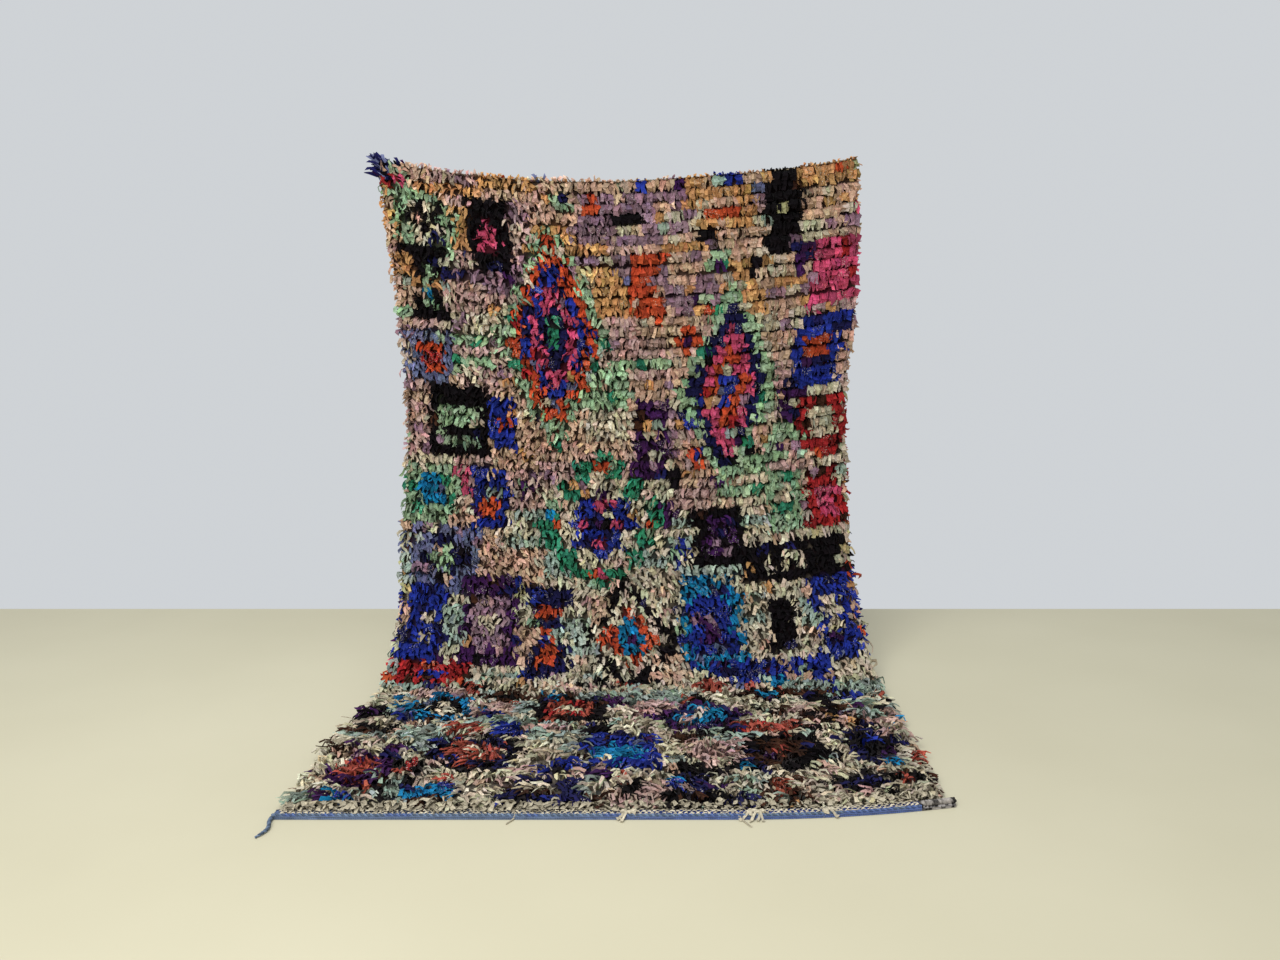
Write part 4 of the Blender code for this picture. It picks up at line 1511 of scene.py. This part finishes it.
# Flat-woven band at the near end, with its stitches
BAND_TOP = 0.0048
ROLLED_AT = 0.80
ROYAL = linear([0.20, 0.31, 0.66])
STEEL_BLUE = linear([0.36, 0.43, 0.58])
PALE_BLUE = linear([0.47, 0.54, 0.64])
MOTTLED_CELL = 0.004
MOTTLED_SHADES = linear([0.12, 0.40, 0.70])
MOTTLED_TINT = np.array([1.0, 0.92, 0.86])


def band_front(across, along):
    place = (along - BAND_START) / BAND_WIDTH
    rolled = np.clip(1 - np.abs(place - ROLLED_AT) / 0.20, 0, 1)
    return BAND_TOP + 0.0016 * rolled + 0.0010 * soft_noise(across, along, (60, 120), 111)


def band_back(across, along):
    return np.full(np.shape(across), 0.0006)


def band_color(across, along, on_back):
    place = (along - BAND_START) / BAND_WIDTH
    streak = 0.85 + 0.3 * cell_draw(np.floor(across / 0.011), np.floor(place * 9), 112)
    to_right = ramp(across, -0.15, 0.30)[:, None]
    colors = (STEEL_BLUE * (1 - to_right) + ROYAL * to_right) * streak[:, None]
    outer = (place > 0.66)[:, None]
    return np.where(outer, 0.55 * colors + 0.45 * PALE_BLUE, colors)


end_band = woven_slab(
    "end_band_weave",
    (BAND_LEFT, BAND_RIGHT),
    (BAND_START, BAND_START + BAND_WIDTH),
    (300, 12),
    band_front,
    band_back,
    band_color,
    BLUE_BAND,
)


def mottled_color(across, along, on_back):
    pick = cell_draw(np.floor(across / MOTTLED_CELL), np.floor(along / MOTTLED_CELL), 113)
    return pick_from(MOTTLED_SHADES, pick)[:, None] * MOTTLED_TINT


corner_band = woven_slab(
    "corner_band_weave",
    (BAND_RIGHT + 0.0004, CORNER_RIGHT),
    (BAND_START, BAND_START + BAND_WIDTH),
    (30, 14),
    band_front,
    band_back,
    mottled_color,
    MOTTLED_BAND,
)

STITCH_RINGS = (
    (-0.0036, 0.0000, 0.16),
    (-0.0022, 0.0011, 0.22),
    (0.0000, 0.0015, 0.24),
    (0.0022, 0.0011, 0.22),
    (0.0036, 0.0000, 0.16),
)
STITCH_LOOSENESS = 0.25
stitch_shapes = bpy.data.collections.new("stitch_shapes")
for index in range(4):
    strip_shape(f"stitch_{index}", stitch_shapes, STITCH_RINGS, random.Random(120 + index), STITCH_LOOSENESS)
STITCH_ROWS = (0.16, 0.36, 0.62)
STITCH_PITCH = 0.0125
STITCH_SIZE = 1.9


def plant_stitches():
    """Rows of short white stitches along the blue band."""
    draws = np.random.RandomState(121)
    row = np.arange(BAND_LEFT + 0.008, BAND_RIGHT - 0.006, STITCH_PITCH)
    across = np.concatenate([row + index * STITCH_PITCH / 2 for index in range(len(STITCH_ROWS))])
    along = BAND_START + np.repeat(STITCH_ROWS, len(row)) * BAND_WIDTH
    count = len(across)
    across = across + draws.uniform(-0.001, 0.001, count)
    along = along + draws.uniform(-0.0008, 0.0008, count)
    out, down, right = directions(across, along)
    colors = np.clip(light_of("cream") * draws.uniform(0.9, 1.25, count)[:, None], 0, 0.9)
    return plant(
        "band_stitches", stitch_shapes, drape(across, along, BAND_TOP + 0.0012), out, right,
        (STITCH_SIZE, STITCH_SIZE, STITCH_SIZE), colors, CREAM_TIE,
        (0.05, 0.2, 0.25), (0.9, 0.8, 0.9), (1.3, 1.25, 1.2), 122,
    )


stitches = plant_stitches()


# Twined cords
TWINE_COLUMNS = ("radius", "turn_length", "strands", "finish")
TWINES = {
    "edge": (0.0021, 0.014, 2, CORD_WOOL),
    "corner": (0.0036, 0.020, 3, MOTTLED_BAND),
    "wool": (0.0017, 0.016, 2, CORD_WOOL),
    "tail": (0.0023, 0.018, 2, CORD_WOOL),
    "thread": (0.0013, 0.012, 2, CREAM_TIE),
}
STEPS_PER_TURN = 6


def twined(name, kind, points, colors, thickness):
    """A cord of this kind along these points."""
    twine = dict(zip(TWINE_COLUMNS, TWINES[kind]))
    mesh = bpy.data.meshes.new(name + "_path")
    mesh.from_pydata(points, [(index, index + 1) for index in range(len(points) - 1)], [])
    store(mesh, "rag_color", "FLOAT_COLOR", with_alpha(colors))
    store(mesh, "thickness", "FLOAT", thickness)
    values = {
        "Strand Radius": twine["radius"],
        "Turn Length": twine["turn_length"],
        "Step": twine["turn_length"] / STEPS_PER_TURN,
        "Strands": twine["strands"],
        "Finish": twine["finish"],
    }
    piece = grow(name, mesh, TWINE, values)
    piece.data.shade_smooth()
    return piece


# Shades of each kind of cord, and how many points have one shade after another
CORD_SHADES = {
    "edge": ((PALE_BLUE, 0.8 * PALE_BLUE, 0.6 * PALE_BLUE + 0.4 * ROYAL), 7),
    "corner": (linear(np.outer((0.20, 0.72, 0.45, 0.16, 0.60), (0.98, 0.94, 0.90))), 2),
    "wool": ((WOOL, 0.75 * WOOL, 0.5 * (WOOL + DARK_WOOL), 1.2 * WOOL), 9),
}
ROLLED_LINE = BAND_START + ROLLED_AT * BAND_WIDTH
CORNER_LINE = BAND_START + 0.62 * BAND_WIDTH
SIDE_LINE = 0.7285
CORD_COLUMNS = ("name", "kind", "across", "along", "height", "points", "seed")
CORDS = (
    ("rolled_edge_cord", "edge", (BAND_LEFT, BAND_RIGHT), (ROLLED_LINE, ROLLED_LINE), 0.0064, 360, 131),
    ("corner_cord", "corner", (BAND_RIGHT, CORNER_RIGHT), (CORNER_LINE, CORNER_LINE), 0.0098, 60, 132),
    ("left_selvedge", "wool", (-SIDE_LINE, -SIDE_LINE), (0.002, BODY_LENGTH), 0.0036, 500, 133),
    ("right_selvedge", "wool", (SIDE_LINE, SIDE_LINE), (0.002, BODY_LENGTH), 0.0036, 500, 134),
    ("top_edge_cord", "wool", (-SIDE_LINE, SIDE_LINE), (0.0012, 0.0012), 0.0036, 320, 135),
)


def make_cord(entry):
    """A cord on a straight run of the flat layout."""
    cord = dict(zip(CORD_COLUMNS, entry))
    count = cord["points"]
    share = np.linspace(0, 1, count)
    height = cord["height"] + 0.0002 * np.sin(share * 40)
    points = drape(np.linspace(*cord["across"], count), np.linspace(*cord["along"], count), height)
    shades, run = CORD_SHADES[cord["kind"]]
    pick = cell_draw(np.floor(np.arange(count) / run), np.zeros(count), cord["seed"])
    return twined(cord["name"], cord["kind"], points, pick_from(np.array(shades), pick), np.ones(count))


rolled_edge, corner_cord, left_selvedge, right_selvedge, top_cord = [make_cord(entry) for entry in CORDS]
selvedges = [left_selvedge, right_selvedge]


def make_tail():
    """Loose end of the edge cord on the floor before the left corner."""
    start = drape(BAND_LEFT, BAND_START + BAND_WIDTH, 0.0)
    steps = [dict(zip(TAIL_COLUMNS, row)) for row in TAIL]
    points = [(s["x"], start[1] - 0.0051 - s["forward"], start[2] + 0.0050 * s["thickness"]) for s in steps]
    points = [(points[0][0] + 0.004, start[1] + 0.012, start[2] + 0.0058)] + points
    thickness = [1.0] + [s["thickness"] for s in steps]
    colors = np.array([PALE_BLUE, 0.7 * PALE_BLUE])[np.arange(len(points)) % 2]
    return twined("corner_tail_cord", "tail", points, colors, thickness)


tail = make_tail()

# Cut cream ties on the band
TIE_LEG_RINGS = (
    (-0.004, 0.002, 0.70),
    (0.003, 0.004, 0.95),
    (0.011, 0.000, 1.10),
    (0.019, -0.005, 1.20),
    (0.027, -0.0068, 1.10),
)
TIE_LEG_SPREAD = 1.50
TIE_LEG_WIDTH = 0.66
TIE_LEG_LENGTH = 0.027
TIE_LEG_LOOSENESS = 0.35
TIE_LEG_HEIGHT = 0.0100
TIE_KNOT_HEIGHT = 0.0092
TIE_KNOT_HALF_SIZE = (0.0098, 0.0066)
TIE_KNOT_RISE = 0.0066
tie_draws = random.Random(140)
leg_shapes = shape_set("tie_leg", 8, strip_shape, TIE_LEG_RINGS, tie_draws, TIE_LEG_LOOSENESS)
tie_knot_shapes = shape_set("tie_knot", 4, nub_shape, TIE_KNOT_HALF_SIZE, TIE_KNOT_RISE, tie_draws)


def plant_tie_legs():
    """Fanned legs of cream cloth."""
    draws = np.random.RandomState(141)
    across = []
    turned = []
    length = []
    for entry in TIES:
        tie = dict(zip(TIE_COLUMNS, entry))
        legs = tie["legs"] + 2
        share = (np.arange(legs) + 0.5) / legs * 2 - 1
        across.append(tie["across"] + share * tie["width"] / 2 + draws.uniform(-0.005, 0.005, legs))
        turned.append(share * TIE_LEG_SPREAD * draws.uniform(0.6, 1.2, legs) + draws.normal(0, 0.62, legs))
        length.append(tie["reach"] / TIE_LEG_LENGTH * draws.uniform(0.55, 1.30, legs))
    across = np.concatenate(across)
    count = len(across)
    along = BAND_START + 0.66 * BAND_WIDTH + draws.uniform(-0.001, 0.002, count)
    out, down, right = directions(across, along)
    tone = draws.uniform(0.70, 1.05, count)[:, None]
    return plant(
        "tie_legs", leg_shapes, drape(across, along, TIE_LEG_HEIGHT), out,
        leaned(down, right, np.concatenate(turned)),
        (TIE_LEG_WIDTH, np.concatenate(length), 1.0), light_of("cream") * tone, CREAM_TIE,
        (0.04, 0.15, 0.1), (0.9, 0.9, 0.95), (1.1, 1.1, 1.05), 142,
    )


def plant_tie_knots():
    """Knots over the roots of the legs."""
    draws = np.random.RandomState(144)
    across = []
    for entry in TIES:
        tie = dict(zip(TIE_COLUMNS, entry))
        places = np.linspace(-0.34, 0.34, tie["legs"]) * tie["width"] + tie["across"]
        across.append(places + draws.uniform(-0.002, 0.002, tie["legs"]))
    across = np.concatenate(across)
    along = BAND_START + draws.uniform(0.40, 0.78, len(across)) * BAND_WIDTH
    out, down, right = directions(across, along)
    return plant(
        "tie_knots", tie_knot_shapes, drape(across, along, TIE_KNOT_HEIGHT), out, down, (1, 1, 1),
        light_of("cream"), CREAM_TIE, (0.25, 0.25, 1.5), (0.8, 0.9, 0.9), (1.30, 1.30, 1.1), 143,
    )


tie_legs = plant_tie_legs()
tie_knots = plant_tie_knots()

# Loose threads that fell from the near edge, as x and distance before the band's edge
THREAD_COLUMNS = ("name", "x", "forward", "end_x", "end_forward")
THREADS = (
    ("thread_right", 0.251, -0.012, 0.281, 0.034),
    ("thread_left", -0.222, -0.010, -0.236, 0.022),
)
THREAD_POINTS = 9
THREAD_TONE = 0.74


def make_thread(entry):
    thread = dict(zip(THREAD_COLUMNS, entry))
    edge = drape(0.0, BAND_START + BAND_WIDTH, 0.0)
    share = np.linspace(0, 1, THREAD_POINTS)
    x = thread["x"] + share * (thread["end_x"] - thread["x"]) + 0.0015 * np.sin(share * 5)
    forward = thread["forward"] + share * (thread["end_forward"] - thread["forward"])
    z = FLOOR_Z + 0.0016 + 0.0100 * np.clip(1 - share * 2.2, 0, 1) ** 2
    points = np.stack([x, edge[1] - forward, z], axis=1)
    colors = np.tile(THREAD_TONE * light_of("cream"), (THREAD_POINTS, 1))
    return twined(thread["name"], "thread", points, colors, np.linspace(1.0, 0.7, THREAD_POINTS))


threads = [make_thread(entry) for entry in THREADS]


# Bodies, and the nodes that pieces stand for, which are hidden
def dress(pieces, slot_name, *nodes):
    for piece in pieces:
        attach(piece, "root")
    if nodes:
        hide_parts(*nodes)


dress([ground], "ground_weave", "rug_body")
dress(pile_pieces + [knot_backs], "rag_pile")
dress([left_rim], "rag_pile", "left_hanging_locks", "left_flare_locks", "left_floor_locks")
dress([right_rim], "rag_pile", "right_hanging_locks", "right_flare_locks", "right_floor_locks")
dress([top_locks], "rag_pile", "top_left_locks", "top_right_locks")
dress([near_locks], "rag_pile", "near_locks")
dress([end_band, rolled_edge], "blue_band", "end_band")
dress([corner_band, corner_cord], "mottled_band", "corner_band")
dress([tail], "blue_band", "corner_tail")
dress([tie_legs], "cream_tie", "tie_middle", "tie_right", "tie_far_right")
dress([tie_knots, stitches] + threads, "cream_tie")
dress(selvedges + [top_cord], "ground_weave")


# Floor, light and camera
FLOOR_FAR_EDGE = 0.62
FLOOR_REACH = 9.0
FLOOR_GAP = 0.0004
FLOOR_TONES = ((0.808, 0.784, 0.680), (0.758, 0.733, 0.624))
FLOOR_CLOUD_SCALE = 1.3
ROOM_COLOR = (*linear([0.85, 0.865, 0.88]), 1.0)
ROOM_LIGHT = 0.90
LIGHT_COLUMNS = ("name", "place", "target", "size", "power", "color")
LIGHTS = (
    ("window_light", (-1.2, -3.7, 1.35), (0.0, -0.2, -0.75), 2.4, 94.0, (1.0, 0.98, 0.95)),
    ("ceiling_light", (-0.6, -1.8, 2.1), (0.0, -0.3, -0.9), 1.6, 57.0, (0.96, 0.98, 1.0)),
)


def make_floor():
    """Pale floor in two soft tones, up to the wall line."""
    mesh = bpy.data.meshes.new("floor")
    z = FLOOR_Z - FLOOR_GAP
    sides = ((-FLOOR_REACH, -FLOOR_REACH), (FLOOR_REACH, -FLOOR_REACH))
    corners = [(x, y, z) for x, y in sides] + [(-x, FLOOR_FAR_EDGE, z) for x, y in sides]
    mesh.from_pydata(corners, [], [(0, 1, 2, 3)])
    material, tree, shader = new_material("pale_floor", Roughness=0.55, Specular_IOR_Level=0.3)
    cloud = add_node(
        tree, "ShaderNodeTexNoise", {"Vector": on_object(tree), "Scale": FLOOR_CLOUD_SCALE, "Detail": 4.0}
    )
    paler, darker = with_alpha(linear(FLOOR_TONES))
    tone = add_node(
        tree, "ShaderNodeMix", {"Factor": cloud.outputs["Fac"], "A": paler, "B": darker}, data_type="RGBA"
    )
    tree.links.new(live(tone.outputs, "Result"), shader.inputs["Base Color"])
    mesh.materials.append(material)
    new_piece("floor", mesh)


def add_area_light(entry):
    lamp = dict(zip(LIGHT_COLUMNS, entry))
    data = bpy.data.lights.new(lamp["name"], "AREA")
    data.shape = "SQUARE"
    data.size = lamp["size"]
    data.energy = lamp["power"]
    data.color = lamp["color"]
    light = bpy.data.objects.new(lamp["name"], data)
    light.location = lamp["place"]
    toward = Vector(lamp["target"]) - Vector(lamp["place"])
    light.rotation_euler = toward.to_track_quat("-Z", "Y").to_euler()
    bpy.context.scene.collection.objects.link(light)


def light_room():
    world = bpy.data.worlds.new("pale_room")
    world.use_nodes = True
    background = world.node_tree.nodes["Background"]
    background.inputs["Color"].default_value = ROOM_COLOR
    background.inputs["Strength"].default_value = ROOM_LIGHT
    bpy.context.scene.world = world
    for entry in LIGHTS:
        add_area_light(entry)


def place_camera():
    data = bpy.data.cameras.new("front_view")
    data.sensor_width = SENSOR_WIDTH
    data.lens = CAMERA_LENS
    data.clip_end = 60.0
    camera = bpy.data.objects.new("front_view", data)
    camera.location = CAMERA_PLACE
    camera.rotation_euler = (math.pi / 2 - CAMERA_PITCH, 0.0, 0.0)
    bpy.context.scene.collection.objects.link(camera)
    bpy.context.scene.camera = camera


make_floor()
light_room()
place_camera()
bpy.context.scene.view_settings.view_transform = "Standard"
